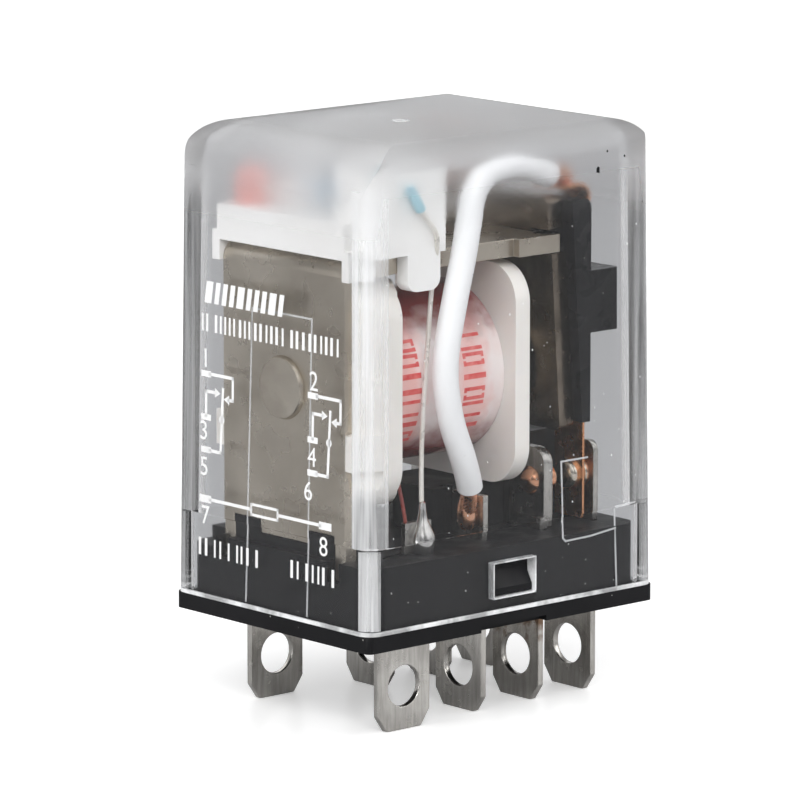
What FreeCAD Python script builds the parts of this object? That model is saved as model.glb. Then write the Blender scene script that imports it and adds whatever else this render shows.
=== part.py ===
"""Plug-in relay: clear cover, black base, eight blades and two changeover contacts.

Millimetres. The origin is the centre of the base's underside, which rests on the
socket. +X runs from the yoke's back plate to the contacts, +Z runs up to the top
of the cover, and the blades hang below z = 0.
"""
import FreeCAD, Part
import math
import os
import re
import Sketcher

Vector = FreeCAD.Vector

SIZES = {
    # base
    "flange_length": 28.0,
    "flange_width": 21.5,
    "flange_thickness": 1.23,
    "flange_corner": 0.5,
    "notch_width": 6.4,
    "notch_depth": 0.4,
    "notch_inset": 0.7,
    "block_length": 26.0,
    "block_width": 19.6,
    "block_top": 5.9,
    "low_corner_top": 5.0,
    "island_start": -1.6,
    "island_half_width": 3.3,
    "island_top": 9.3,
    "island_end": 12.1,
    "barrier_start": 4.4,
    "barrier_top": 12.4,
    "back_wall_top": 6.6,
    "post_top": 7.6,
    "post_inner_edge": 2.65,
    "post_outer_edge": 5.5,
    "block_corner": 1.2,
    "fit_gap": 0.03,
    "latch_width": 3.8,
    "latch_bottom": 2.5,
    "latch_top": 4.7,
    "latch_reach": 0.75,
    # cover
    "cover_length": 28.2,
    "cover_width": 21.7,
    "cover_top": 36.0,
    "cover_draft": 0.6,
    "cover_corner": 1.2,
    "back_radius": 4.0,
    "front_radius": 3.0,
    "side_radius": 1.8,
    "cover_wall": 1.0,
    "skirt_wall": 0.85,
    "cavity_corner": 2.2,
    "cavity_relief": 0.06,
    "step_height": 7.3,
    "window_width": 4.2,
    "window_bottom": 2.3,
    "window_top": 5.0,
    # blades
    "blade_width": 5.0,
    "blade_thickness": 0.5,
    "blade_reach": 7.0,
    "tip_width": 3.3,
    "tip_height": 1.2,
    "eyelet_radius": 1.52,
    "eyelet_depth": 3.8,
    "shoulder_height": 0.8,
    "contact_row": 5.0,
    "coil_row": 7.05,
    "coil_blade_at": -7.6,
    "common_at": 0.0,
    "open_at": 5.7,
    "closed_at": 10.95,
    # posts above the base
    "post_inner": 3.9,
    "post_outer": 7.3,
    "common_post_top": 9.2,
    "coil_post_top": 8.2,
    "open_post_top": 11.9,
    "open_post_thickness": 0.9,
    "open_post_at": 6.2,
    "open_post_corner": 1.2,
    "closed_post_corner": 0.8,
    # contacts
    "pole_row": 5.7,
    "contact_height": 9.4,
    "contact_radius": 1.15,
    "shank_radius": 0.6,
    "spring_at": 9.8,
    "spring_thickness": 0.2,
    "spring_width": 3.0,
    "spring_bottom": 6.2,
    "moving_head": 0.7,
    "moving_tail": 0.35,
    "closed_head": 0.43,
    "open_head": 1.1,
    "rivet_tail": 0.35,
    # yoke
    "yoke_back": 12.3,
    "yoke_thickness": 1.35,
    "yoke_half_width": 6.7,
    "yoke_top": 27.7,
    "yoke_bottom": 6.65,
    "yoke_leg_bottom": 4.4,
    "yoke_end": 7.3,
    "ear_start": 3.2,
    "ear_half_width": 7.3,
    "notch_half_width": 5.1,
    "yoke_bend": 1.3,
    "hook_at": -2.6,
    "hook_half_width": 1.2,
    "hook_top": 30.0,
    "hook_thickness": 0.6,
    # armature and its hinge
    "hinge_at": 6.5,
    "hinge_height": 27.0,
    "armature_gap": 0.1,
    "armature_thickness": 1.4,
    "armature_bottom": 13.0,
    "armature_shoulder": 26.2,
    "armature_neck_top": 27.95,
    "armature_top": 30.4,
    "armature_half_width": 7.05,
    "armature_neck": 4.9,
    "armature_top_half": 6.8,
    "armature_tilt": 3.8,
    "armature_corner": 0.6,
    # contact block
    "carrier_bottom": 13.6,
    "carrier_top": 30.2,
    "carrier_half_width": 8.0,
    "carrier_front": 9.7,
    "carrier_round": 0.7,
    "bar_start": 10.0,
    "bar_end": 12.5,
    "bar_bottom": 20.2,
    "bar_top": 24.8,
    # coil
    "coil_height": 17.7,
    "core_radius": 3.0,
    "neck_radius": 1.8,
    "stake_radius": 2.35,
    "stake_height": 0.4,
    "pole_radius": 4.2,
    "pole_face": 6.55,
    "ring_outer": 3.4,
    "ring_inner": 2.6,
    "ring_depth": 0.9,
    "ring_shift": 0.5,
    "back_flange_end": -8.35,
    "front_flange_start": 2.6,
    "front_flange_end": 4.0,
    "bobbin_half_width": 7.6,
    "bobbin_half_height": 8.15,
    "bobbin_corner": 2.8,
    "barrel_radius": 3.8,
    "winding_radius": 6.2,
    "tape_radius": 6.4,
    "lug_reach": 1.3,
    "lug_height": 13.8,
    # lamp holder
    "holder_half_width": 7.0,
    "holder_back": 12.6,
    "holder_bottom": 28.4,
    "holder_tray_top": 30.3,
    "holder_front": -4.7,
    "holder_side": 8.1,
    "holder_block_top": 34.0,
    "holder_tab_bottom": 25.1,
    "holder_tab_start": -8.3,
    "holder_tab_end": -5.2,
    "holder_tab_round": 0.9,
    "holder_inset": 1.4,
    "holder_block_width": 3.6,
    "holder_cheek_bottom": 26.2,
    # lamp and resistor
    "lamp_radius": 1.3,
    "lamp_stem": 1.5,
    "resistor_radius": 0.85,
    "resistor_length": 3.2,
    # flexible leads and solder
    "coil_bead": 0.75,
    "braid_bead": 0.85,
    "braid_radius": 0.5,
    "tube_bore": 0.56,
    "tube_radius": 0.95,
    "lead_radius": 0.2,
    "coil_lead_radius": 0.14,
    "sleeve_radius": 0.42,
}

doc = FreeCAD.newDocument("PlugInRelay")
sizes = doc.addObject("Spreadsheet::Sheet", "Sizes")
for row, (name, value) in enumerate(SIZES.items(), start=1):
    sizes.set(f"A{row}", name)
    sizes.set(f"B{row}", str(value))
    sizes.setAlias(f"B{row}", name)
doc.recompute()

subparts = []


def bound(text):
    """Turn an expression in plain size names into one that reads the sheet."""
    def cell(match):
        word = match.group(0)
        return "Sizes." + word if word in SIZES else word
    return re.sub(r"[a-z][a-z_]*", cell, str(text))


def size(name):
    """One size, read from the sheet."""
    return float(sizes.get(name))


# Helpers for bodies ------------------------------------------------------------

def new_body(label):
    body = doc.addObject("PartDesign::Body", label)
    body.Label = label
    return body


def subpart(label):
    """A body that is one piece of the relay."""
    body = new_body(label)
    subparts.append(body)
    return body


def rect(across_low, across_high, up_low, up_high):
    return [(across_low, up_low), (across_high, up_low), (across_high, up_high), (across_low, up_high)]


def mirror(outline, side):
    """The outline on the +1 or -1 side of the relay, across its first coordinate."""
    return [(f"{side} * ({across})", up) for across, up in outline]


def draw(body, plane, centre, outline, circles=()):
    """A closed outline and round holes on a plane of the body, moved out to centre."""
    drawing = body.newObject("Sketcher::SketchObject", body.Name + "_sketch")
    support = next(item for item in body.Origin.OriginFeatures if item.Role == plane)
    drawing.AttachmentSupport = (support, [""])
    drawing.MapMode = "FlatFace"
    facing = -1 if plane == "XZ_Plane" else 1
    drawing.setExpression(".AttachmentOffset.Base.z", bound(f"{facing} * ({centre})"))
    count = len(outline)
    corners = [
        Vector(10 * math.cos(2 * math.pi * step / count), 10 * math.sin(2 * math.pi * step / count), 0)
        for step in range(count)
    ]
    for step in range(count):
        drawing.addGeometry(Part.LineSegment(corners[step], corners[(step + 1) % count]), False)
    for step in range(count):
        drawing.addConstraint(Sketcher.Constraint("Coincident", step, 2, (step + 1) % count, 1))
    for step, (across, up) in enumerate(outline):
        place(drawing, step, 1, across, up)
    for number, (across, up, radius) in enumerate(circles, start=count):
        drawing.addGeometry(Part.Circle(Vector(0, 0, 0), Vector(0, 0, 1), 1), False)
        place(drawing, number, 3, across, up)
        lock = drawing.addConstraint(Sketcher.Constraint("Radius", number, 1))
        drawing.setExpression(f"Constraints[{lock}]", bound(radius))
    return drawing


def place(drawing, geometry, point, across, up):
    """Lock a point of a sketch at two expressions."""
    for direction, text in (("DistanceX", across), ("DistanceY", up)):
        lock = drawing.addConstraint(Sketcher.Constraint(direction, -1, 1, geometry, point, 1))
        drawing.setExpression(f"Constraints[{lock}]", bound(text))


def slab(body, plane, centre, thickness, outline, circles=()):
    """Add a plate of the outline, half its thickness each side of centre."""
    feature = body.newObject("PartDesign::Pad", body.Name + "_pad")
    feature.Profile = draw(body, plane, centre, outline, circles)
    feature.SideType = "Symmetric"
    feature.setExpression("Length", bound(thickness))
    body.Tip = feature
    return feature


def cut(body, plane, centre, thickness, outline, circles=()):
    """Take a plate of the outline away, and make sure that something went."""
    doc.recompute()
    before = body.Tip.Shape.Volume
    feature = body.newObject("PartDesign::Pocket", body.Name + "_pocket")
    feature.Profile = draw(body, plane, centre, outline, circles)
    feature.SideType = "Symmetric"
    feature.setExpression("Length", bound(thickness))
    body.Tip = feature
    doc.recompute()
    if feature.Shape.Volume > before - 1e-4:
        raise RuntimeError(f"{body.Label}: a pocket cut nothing")
    return feature


def round_edges(body, radius, wanted):
    """Fillet every edge of the body whose middle and direction are wanted."""
    doc.recompute()
    base = body.Tip
    names = []
    for number, edge in enumerate(base.Shape.Edges, start=1):
        middle = edge.valueAt((edge.FirstParameter + edge.LastParameter) / 2)
        along = edge.tangentAt(edge.FirstParameter)
        if wanted(middle, along):
            names.append(f"Edge{number}")
    feature = body.newObject("PartDesign::Fillet", body.Name + "_fillet")
    feature.Base = (base, names)
    feature.setExpression("Radius", bound(radius))
    body.Tip = feature
    doc.recompute()
    return feature


def spin(body, outline):
    """Turn an outline of (x, distance from the coil's axis) pairs about that axis."""
    feature = body.newObject("PartDesign::Revolution", body.Name + "_turn")
    raised = [(across, f"coil_height + {away}") for across, away in outline]
    profile = draw(body, "XZ_Plane", "0", raised)
    axis = Part.LineSegment(Vector(0, 1, 0), Vector(1, 1, 0))
    number = profile.addGeometry(axis, True)
    place(profile, number, 1, "0", "coil_height")
    place(profile, number, 2, "1", "coil_height")
    feature.Profile = profile
    feature.ReferenceAxis = (profile, ["Axis0"])
    feature.Angle = 360
    body.Tip = feature
    return feature


def pin(label, start, end, radius, side):
    """A round pin along X on one pole's contact line."""
    item = doc.addObject("Part::Cylinder", label)
    item.setExpression("Radius", bound(radius))
    item.setExpression("Height", bound(f"({end}) - ({start})"))
    item.Placement = FreeCAD.Placement(Vector(), FreeCAD.Rotation(Vector(0, 1, 0), 90))
    item.setExpression(".Placement.Base.x", bound(start))
    item.setExpression(".Placement.Base.y", bound(f"{side} * pole_row"))
    item.setExpression(".Placement.Base.z", bound("contact_height"))
    return item


def rivet(label, side, stretches):
    """A stepped round rivet: each stretch is (start, end, radius) along X."""
    pins = [
        pin(f"{label}_step{step}", start, end, radius, side)
        for step, (start, end, radius) in enumerate(stretches, start=1)
    ]
    joined = doc.addObject("Part::MultiFuse", label)
    joined.Label = label
    joined.Shapes = pins
    subparts.append(joined)
    return joined


# Helpers for bent wire and strip ---------------------------------------------------

def route(points, bend=None):
    """Straight runs through the points, joined by tangent arcs."""
    edges = []
    reached = points[0]
    for before, corner, after in zip(points, points[1:], points[2:]):
        back = (before - corner).normalize()
        ahead = (after - corner).normalize()
        half = back.getAngle(ahead) / 2
        shorter = min((before - corner).Length, (after - corner).Length)
        radius = bend or 0.45 * shorter * math.tan(half)
        setback = radius / math.tan(half)
        start = corner + back * setback
        end = corner + ahead * setback
        to_centre = (back + ahead).normalize()
        middle = corner + to_centre * (radius / math.sin(half) - radius)
        edges.append(Part.LineSegment(reached, start).toShape())
        edges.append(Part.Arc(start, middle, end).toShape())
        reached = end
    edges.append(Part.LineSegment(reached, points[-1]).toShape())
    return Part.Wire(edges)


def sweep(path, section):
    shape = path.makePipeShell([section], True, False)
    if shape.Volume < 0:
        shape.reverse()
    return shape


def wire_rod(path, radius):
    """A round rod or lead along a path."""
    first = path.Edges[0]
    start = first.valueAt(first.FirstParameter)
    section = Part.Wire(Part.makeCircle(radius, start, first.tangentAt(first.FirstParameter)))
    rod = sweep(path, section)
    expected = math.pi * radius ** 2 * path.Length
    if abs(rod.Volume - expected) > 0.02 * expected:
        raise RuntimeError("a lead's volume is not its section times its length")
    return rod


def shaped(label, shape):
    """A sub-part whose shape is made by Part's own functions."""
    item = doc.addObject("Part::Feature", label)
    item.Label = label
    item.Shape = shape
    item.Placement = FreeCAD.Placement()
    subparts.append(item)
    return item


# Cover -------------------------------------------------------------------------------

def drafted_block(label, length, width, bottom, top, corner, back, front, side):
    """A block with drafted walls, rounded upright edges and rounded top edges."""
    height = f"(({top}) - ({bottom}))"
    lean = f"tan(cover_draft * 1deg) * {height}"
    plan = new_body(label + "_plan")
    feature = plan.newObject("PartDesign::Pad", label + "_plan_pad")
    half_length = f"({length}) / 2"
    half_width = f"({width}) / 2"
    outline = rect(f"-{half_length}", half_length, f"-{half_width}", half_width)
    feature.Profile = draw(plan, "XY_Plane", bottom, outline)
    feature.setExpression("Length", bound(height))
    feature.setExpression("TaperAngle", bound("-cover_draft"))
    plan.Tip = feature
    round_edges(plan, corner, lambda middle, along: abs(along.z) > 0.9)

    def gable(half, name, plane, thickness, radii):
        body = new_body(label + name)
        walls = [
            (f"-{half}", bottom),
            (half, bottom),
            (f"{half} - {lean}", top),
            (f"-{half} + {lean}", top),
        ]
        slab(body, plane, "0", thickness, walls)
        for direction, radius in radii:
            def at_top(middle, along, direction=direction):
                across = middle.x if plane == "XZ_Plane" else middle.y
                lengthwise = abs(along.y if plane == "XZ_Plane" else along.x) > 0.9
                return lengthwise and direction * across > 1 and middle.z > 20
            round_edges(body, radius, at_top)
        return body

    lengthwise = gable(half_length, "_long", "XZ_Plane", f"{width} + 2", [(-1, back), (1, front)])
    crosswise = gable(half_width, "_wide", "YZ_Plane", f"{length} + 2", [(-1, side), (1, side)])
    common = doc.addObject("Part::MultiCommon", label)
    common.Shapes = [plan, lengthwise, crosswise]
    return common


def make_cover():
    outer = drafted_block(
        "cover_outer", "cover_length", "cover_width", "flange_thickness", "cover_top",
        "cover_corner", "back_radius", "front_radius", "side_radius",
    )
    inner = drafted_block(
        "cover_inner",
        "cover_length - 2 * (cover_wall + cavity_relief)",
        "cover_width - 2 * (cover_wall + cavity_relief)",
        "step_height", "cover_top - cover_wall", "cavity_corner",
        "back_radius - cover_wall", "front_radius - cover_wall", "side_radius - cover_wall / 2",
    )
    skirt = new_body("cover_skirt")
    half_length = "cover_length / 2 - skirt_wall"
    half_width = "cover_width / 2 - skirt_wall"
    slab(
        skirt, "XY_Plane",
        "(step_height + flange_thickness) / 2", "step_height - flange_thickness + 0.02",
        rect(f"-({half_length})", half_length, f"-({half_width})", half_width),
    )
    round_edges(skirt, "cover_corner", lambda middle, along: abs(along.z) > 0.9)
    window = new_body("cover_window")
    slab(
        window, "XZ_Plane", "0", "cover_width + 2",
        rect("-window_width / 2", "window_width / 2", "window_bottom", "window_top"),
    )
    cavity = doc.addObject("Part::MultiFuse", "cover_cavity")
    cavity.Shapes = [inner, skirt, window]
    cover = doc.addObject("Part::Cut", "cover")
    cover.Label = "cover"
    cover.Base = outer
    cover.Tool = cavity
    subparts.append(cover)


# Base ----------------------------------------------------------------------------------

def make_base():
    body = subpart("base")
    slab(
        body, "XY_Plane", "flange_thickness / 2", "flange_thickness",
        rect("-flange_length / 2", "flange_length / 2", "-flange_width / 2", "flange_width / 2"),
    )
    round_edges(body, "flange_corner", lambda middle, along: abs(along.z) > 0.9)
    slab(
        body, "XY_Plane", "block_top / 2 + 0.1", "block_top - 0.2",
        rect("-block_length / 2", "block_length / 2", "-block_width / 2", "block_width / 2"),
    )
    round_edges(
        body, "block_corner",
        lambda middle, along: abs(along.z) > 0.9 and middle.z > size("flange_thickness"),
    )
    # an island between the two rows of posts, which rises to a barrier between the contacts
    for start, end, top in (
        ("island_start", "barrier_start + 0.1", "island_top"),
        ("barrier_start", "island_end", "barrier_top"),
    ):
        slab(
            body, "XY_Plane", f"(block_top - 0.5 + {top}) / 2", f"{top} - block_top + 0.5",
            rect(start, end, "-island_half_width", "island_half_width"),
        )
    # a back wall under the yoke's plate, with two posts that stand in its notches
    yoke_front = "-yoke_back + yoke_thickness"
    slab(
        body, "YZ_Plane", "-yoke_back + yoke_thickness / 2", "yoke_thickness",
        [
            ("-post_outer_edge", "block_top - 1"),
            ("post_outer_edge", "block_top - 1"),
            ("post_outer_edge", "post_top"),
            ("post_inner_edge", "post_top"),
            ("post_inner_edge", "back_wall_top"),
            ("-post_inner_edge", "back_wall_top"),
            ("-post_inner_edge", "post_top"),
            ("-post_outer_edge", "post_top"),
        ],
    )
    # one back corner of the block is lower
    cut(
        body, "XY_Plane", "low_corner_top + 2", "4",
        rect("-block_length / 2 - 1", yoke_front, "yoke_half_width + 0.1", "block_width / 2 + 1"),
    )
    # snap wedges, sloped on top so that the cover slides over them
    for side in (-1, 1):
        slab(
            body, "YZ_Plane", "0", "latch_width",
            mirror([
                ("block_width / 2 - 0.2", "latch_bottom"),
                ("block_width / 2 + latch_reach", "latch_bottom"),
                ("block_width / 2 + latch_reach", "latch_bottom + 0.5"),
                ("block_width / 2 - 0.2", "latch_top"),
            ], side),
        )
    # shallow notches in the flange's lower edge, for prying the relay from its socket
    for side in (-1, 1):
        low = "flange_width / 2 - notch_inset" if side > 0 else "-flange_width / 2 - 1"
        high = "flange_width / 2 + 1" if side > 0 else "-flange_width / 2 + notch_inset"
        cut(
            body, "XY_Plane", "0", "2 * notch_depth",
            rect("-notch_width / 2", "notch_width / 2", low, high),
        )
    # slots for the blades
    half_slot = "(blade_thickness / 2 + fit_gap)"
    half_blade = "(blade_width / 2 + fit_gap)"
    for side in (-1, 1):
        for at in ("common_at", "open_at", "closed_at"):
            cut(body, "XY_Plane", "4", "20", rect(
                f"{at} - {half_slot}", f"{at} + {half_slot}",
                f"{side} * contact_row - {half_blade}", f"{side} * contact_row + {half_blade}",
            ))
        cut(body, "XY_Plane", "4", "20", rect(
            f"coil_blade_at - {half_blade}", f"coil_blade_at + {half_blade}",
            f"{side} * coil_row - {half_slot}", f"{side} * coil_row + {half_slot}",
        ))
        # recess for one leg of the yoke, open at the back
        cut(body, "YZ_Plane", "-yoke_back", "2 * yoke_thickness + 2 * fit_gap", mirror(rect(
            "post_outer_edge", "yoke_half_width + fit_gap", "yoke_leg_bottom", "yoke_leg_bottom + 6",
        ), side))


# Terminals -----------------------------------------------------------------------------

def blade_outline(row, inner, outer, post_top):
    """Blade with a chamfered tip below, full width through the base, narrower post above."""
    half = "blade_width / 2"
    half_tip = "tip_width / 2"
    return [
        (f"{row} - {half_tip}", "-blade_reach"),
        (f"{row} + {half_tip}", "-blade_reach"),
        (f"{row} + {half}", "-blade_reach + tip_height"),
        (f"{row} + {half}", "shoulder_height"),
        (outer, "shoulder_height"),
        (outer, post_top),
        (inner, post_top),
        (inner, "shoulder_height"),
        (f"{row} - {half}", "shoulder_height"),
        (f"{row} - {half}", "-blade_reach + tip_height"),
    ]


def contact_terminal(label, side, at, post_top, hole=False):
    body = subpart(label)
    outline = mirror(blade_outline("contact_row", "post_inner", "post_outer", post_top), side)
    holes = [(f"{side} * contact_row", "-eyelet_depth", "eyelet_radius")]
    if hole:
        holes.append((f"{side} * pole_row", "contact_height", "shank_radius"))
    slab(body, "YZ_Plane", at, "blade_thickness", outline, holes)
    return body


def open_terminal(label, side):
    """The open blade: its post is thicker and stands a little in front of the blade."""
    body = subpart(label)
    outline = mirror(blade_outline("contact_row", "post_inner", "post_outer", "block_top + 0.9"), side)
    slab(
        body, "YZ_Plane", "open_at", "blade_thickness", outline,
        [(f"{side} * contact_row", "-eyelet_depth", "eyelet_radius")],
    )
    post = mirror(rect("post_inner", "post_outer", "block_top + 0.1", "open_post_top"), side)
    slab(
        body, "YZ_Plane", "open_post_at", "open_post_thickness", post,
        [(f"{side} * pole_row", "contact_height", "shank_radius")],
    )
    round_edges(
        body, "open_post_corner",
        lambda middle, along: abs(along.x) > 0.9 and middle.z > size("open_post_top") - 0.1,
    )


def coil_terminal(label, side):
    body = subpart(label)
    outline = blade_outline("coil_blade_at", "coil_blade_at - 0.2", "coil_blade_at + 2.3", "coil_post_top")
    slab(
        body, "XZ_Plane", f"{side} * coil_row", "blade_thickness", outline,
        [("coil_blade_at", "-eyelet_depth", "eyelet_radius")],
    )


def make_terminals():
    for side, coil, common, opening, closing in ((-1, 8, 6, 4, 2), (1, 7, 5, 3, 1)):
        coil_terminal(f"coil_terminal_{coil}", side)
        contact_terminal(f"common_terminal_{common}", side, "common_at", "common_post_top")
        open_terminal(f"open_terminal_{opening}", side)
        closed = contact_terminal(f"closed_terminal_{closing}", side, "closed_at", "open_post_top", True)
        round_edges(
            closed, "closed_post_corner",
            lambda middle, along: abs(along.x) > 0.9 and middle.z > size("open_post_top") - 0.1,
        )
        post_back = "(open_post_at - open_post_thickness / 2)"
        post_front = "(open_post_at + open_post_thickness / 2)"
        rivet(f"open_contact_{opening}", side, [
            (f"{post_back} - rivet_tail", post_back, "contact_radius - 0.1"),
            (post_back, post_front, "shank_radius"),
            (post_front, f"{post_front} + open_head", "contact_radius"),
        ])
        closed_back = "(closed_at - blade_thickness / 2)"
        closed_front = "(closed_at + blade_thickness / 2)"
        rivet(f"closed_contact_{closing}", side, [
            (f"{closed_back} - closed_head", closed_back, "contact_radius"),
            (closed_back, closed_front, "shank_radius"),
            (closed_front, f"{closed_front} + rivet_tail", "contact_radius - 0.25"),
        ])


# Moving contacts --------------------------------------------------------------------------

def make_moving_contacts():
    half = size("spring_thickness") / 2
    for side, number in ((-1, 6), (1, 5)):
        spring_back = "(spring_at - spring_thickness / 2)"
        spring_front = "(spring_at + spring_thickness / 2)"
        rivet(f"moving_contact_{number}", side, [
            (f"{spring_back} - moving_head", spring_back, "contact_radius"),
            (spring_back, spring_front, "shank_radius"),
            (spring_front, f"{spring_front} + moving_tail", "contact_radius - 0.05"),
        ])
        row = side * size("pole_row")
        upright = size("spring_at")
        points = [
            Vector(upright, row, size("spring_bottom")),
            Vector(upright, row, 28.0),
            Vector(upright + 0.75, row, 31.2),
            Vector(size("hinge_at") + 1.0, row, 31.0),
        ]
        path = route(points, 1.0)
        across = size("spring_width") / 2
        section = Part.makePolygon([
            Vector(upright - half, row - across, points[0].z),
            Vector(upright + half, row - across, points[0].z),
            Vector(upright + half, row + across, points[0].z),
            Vector(upright - half, row + across, points[0].z),
            Vector(upright - half, row - across, points[0].z),
        ])
        strip = sweep(path, section)
        hole = Part.makeCylinder(
            size("shank_radius"), 2, Vector(upright - 1, row, size("contact_height")), Vector(1, 0, 0),
        )
        shaped(f"contact_spring_{number}", strip.cut(hole))


# Yoke, armature and the moulded contact block -----------------------------------------------

def make_yoke():
    body = subpart("yoke")
    back = "-yoke_back"
    inside = "-yoke_back + yoke_thickness"
    slab(body, "XZ_Plane", "0", "2 * yoke_half_width", [
        (back, "yoke_bottom"),
        (inside, "yoke_bottom"),
        (inside, "yoke_top - yoke_thickness"),
        ("yoke_end", "yoke_top - yoke_thickness"),
        ("yoke_end", "yoke_top"),
        (back, "yoke_top"),
    ])
    round_edges(
        body, "yoke_bend",
        lambda middle, along: abs(along.y) > 0.9
        and middle.x < -size("yoke_back") + 0.1 and middle.z > size("yoke_top") - 0.1,
    )
    # ears at the hinge, and the notch that the armature's neck stands in
    slab(
        body, "XY_Plane", "yoke_top - yoke_thickness / 2", "yoke_thickness",
        rect("ear_start", "yoke_end", "-ear_half_width", "ear_half_width"),
    )
    cut(
        body, "XY_Plane", "yoke_top", "6",
        rect("hinge_at", "yoke_end + 1", "-notch_half_width", "notch_half_width"),
    )
    # legs that stand in the base, and notches for the base's two posts
    for side in (-1, 1):
        slab(
            body, "YZ_Plane", "-yoke_back + yoke_thickness / 2", "yoke_thickness",
            mirror(rect(
                "post_outer_edge + fit_gap", "yoke_half_width", "yoke_leg_bottom", "yoke_bottom + 1",
            ), side),
        )
        cut(
            body, "YZ_Plane", "-yoke_back", "2 * yoke_thickness + 1",
            mirror(rect(
                "post_inner_edge - fit_gap", "post_outer_edge + fit_gap",
                "yoke_bottom - 1", "post_top + fit_gap",
            ), side),
        )
    # hook for the return spring
    slab(
        body, "YZ_Plane", "hook_at", "hook_thickness",
        rect("-hook_half_width", "hook_half_width", "yoke_top - 0.5", "hook_top"),
    )
    bore = new_body("yoke_bore")
    spin(bore, rect("-yoke_back - 1", "-yoke_back + yoke_thickness + 1", "0", "neck_radius"))
    bored = doc.addObject("Part::Cut", "yoke_bored")
    bored.Base = body
    bored.Tool = bore
    subparts.remove(body)
    body.Label = "yoke_blank"
    bored.Label = "yoke"
    subparts.append(bored)


def tilt():
    """How the armature leans at rest, with its lower end away from the pole."""
    hinge = Vector(size("hinge_at"), 0, size("hinge_height"))
    turn = FreeCAD.Rotation(Vector(0, 1, 0), -size("armature_tilt"))
    return FreeCAD.Placement(Vector(), turn, hinge)


def make_armature():
    body = subpart("armature")
    half = "armature_half_width"
    slab(
        body, "YZ_Plane", "hinge_at + armature_gap + armature_thickness / 2", "armature_thickness",
        [
            (f"-{half}", "armature_bottom"),
            (half, "armature_bottom"),
            (half, "armature_shoulder"),
            ("armature_neck", "armature_shoulder"),
            ("armature_neck", "armature_neck_top"),
            ("armature_top_half", "armature_neck_top"),
            ("armature_top_half", "armature_top"),
            ("-armature_top_half", "armature_top"),
            ("-armature_top_half", "armature_neck_top"),
            ("-armature_neck", "armature_neck_top"),
            ("-armature_neck", "armature_shoulder"),
            (f"-{half}", "armature_shoulder"),
        ],
    )
    round_edges(
        body, "armature_corner",
        lambda middle, along: abs(along.x) > 0.9
        and abs(middle.y) > size("armature_top_half") - 0.1
        and (middle.z < size("armature_bottom") + 0.1 or middle.z > size("armature_top") - 0.1),
    )
    body.Placement = tilt()


def make_contact_block():
    """Black block moulded on the armature's outer face, with a bar outside the springs."""
    body = subpart("contact_block")

    def face(height):
        front = "(armature_gap + armature_thickness) / cos(armature_tilt * 1deg)"
        return f"hinge_at + {front} + (hinge_height - {height}) * tan(armature_tilt * 1deg)"

    slab(body, "XZ_Plane", "0", "2 * carrier_half_width", [
        (face("carrier_bottom"), "carrier_bottom"),
        ("carrier_front", "carrier_bottom"),
        ("carrier_front", "carrier_top"),
        (face("carrier_top"), "carrier_top"),
    ])
    round_edges(
        body, "carrier_round",
        lambda middle, along: abs(along.y) > 0.9
        and middle.x > size("carrier_front") - 0.05 and middle.z > size("carrier_top") - 0.1,
    )
    slab(
        body, "XZ_Plane", "0", "2 * carrier_half_width",
        rect("bar_start", "bar_end", "bar_bottom", "bar_top"),
    )
    inner = "pole_row - spring_width / 2 - 0.05"
    outer = "pole_row + spring_width / 2 + 0.05"
    slab(
        body, "XZ_Plane", "0", f"2 * ({inner})",
        rect("carrier_front - 0.3", "bar_start + 0.3", "bar_bottom", "bar_top"),
    )
    for side in (-1, 1):
        slab(
            body, "XZ_Plane", f"{side} * ({outer} + carrier_half_width) / 2",
            f"carrier_half_width - ({outer})",
            rect("carrier_front - 0.3", "bar_start + 0.3", "bar_bottom", "bar_top"),
        )


# Coil -----------------------------------------------------------------------------------

def make_core():
    blank = new_body("core_blank")
    spin(blank, [
        ("-yoke_back - stake_height", "0"),
        ("pole_face", "0"),
        ("pole_face", "pole_radius"),
        ("front_flange_end + 0.02", "pole_radius"),
        ("front_flange_end + 0.02", "core_radius"),
        ("-yoke_back + yoke_thickness", "core_radius"),
        ("-yoke_back + yoke_thickness", "neck_radius"),
        ("-yoke_back", "neck_radius"),
        ("-yoke_back", "stake_radius"),
        ("-yoke_back - stake_height", "stake_radius - 0.15"),
    ])
    doc.recompute()
    ring = shading_ring_shape(size("fit_gap"))
    shaped("core", blank.Shape.cut(ring))
    shaped("shading_ring", shading_ring_shape(0))


def shading_ring_shape(gap):
    """Flat copper ring let into the pole face, off centre, grown by gap for its groove."""
    face = size("pole_face")
    depth = size("ring_depth") + gap
    centre = Vector(face - depth, 0, size("coil_height") + size("ring_shift"))
    along = Vector(1, 0, 0)
    outer = Part.makeCylinder(size("ring_outer") + gap, depth, centre, along)
    inner = Part.makeCylinder(size("ring_inner") - gap, depth, centre, along)
    return outer.cut(inner)


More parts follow.
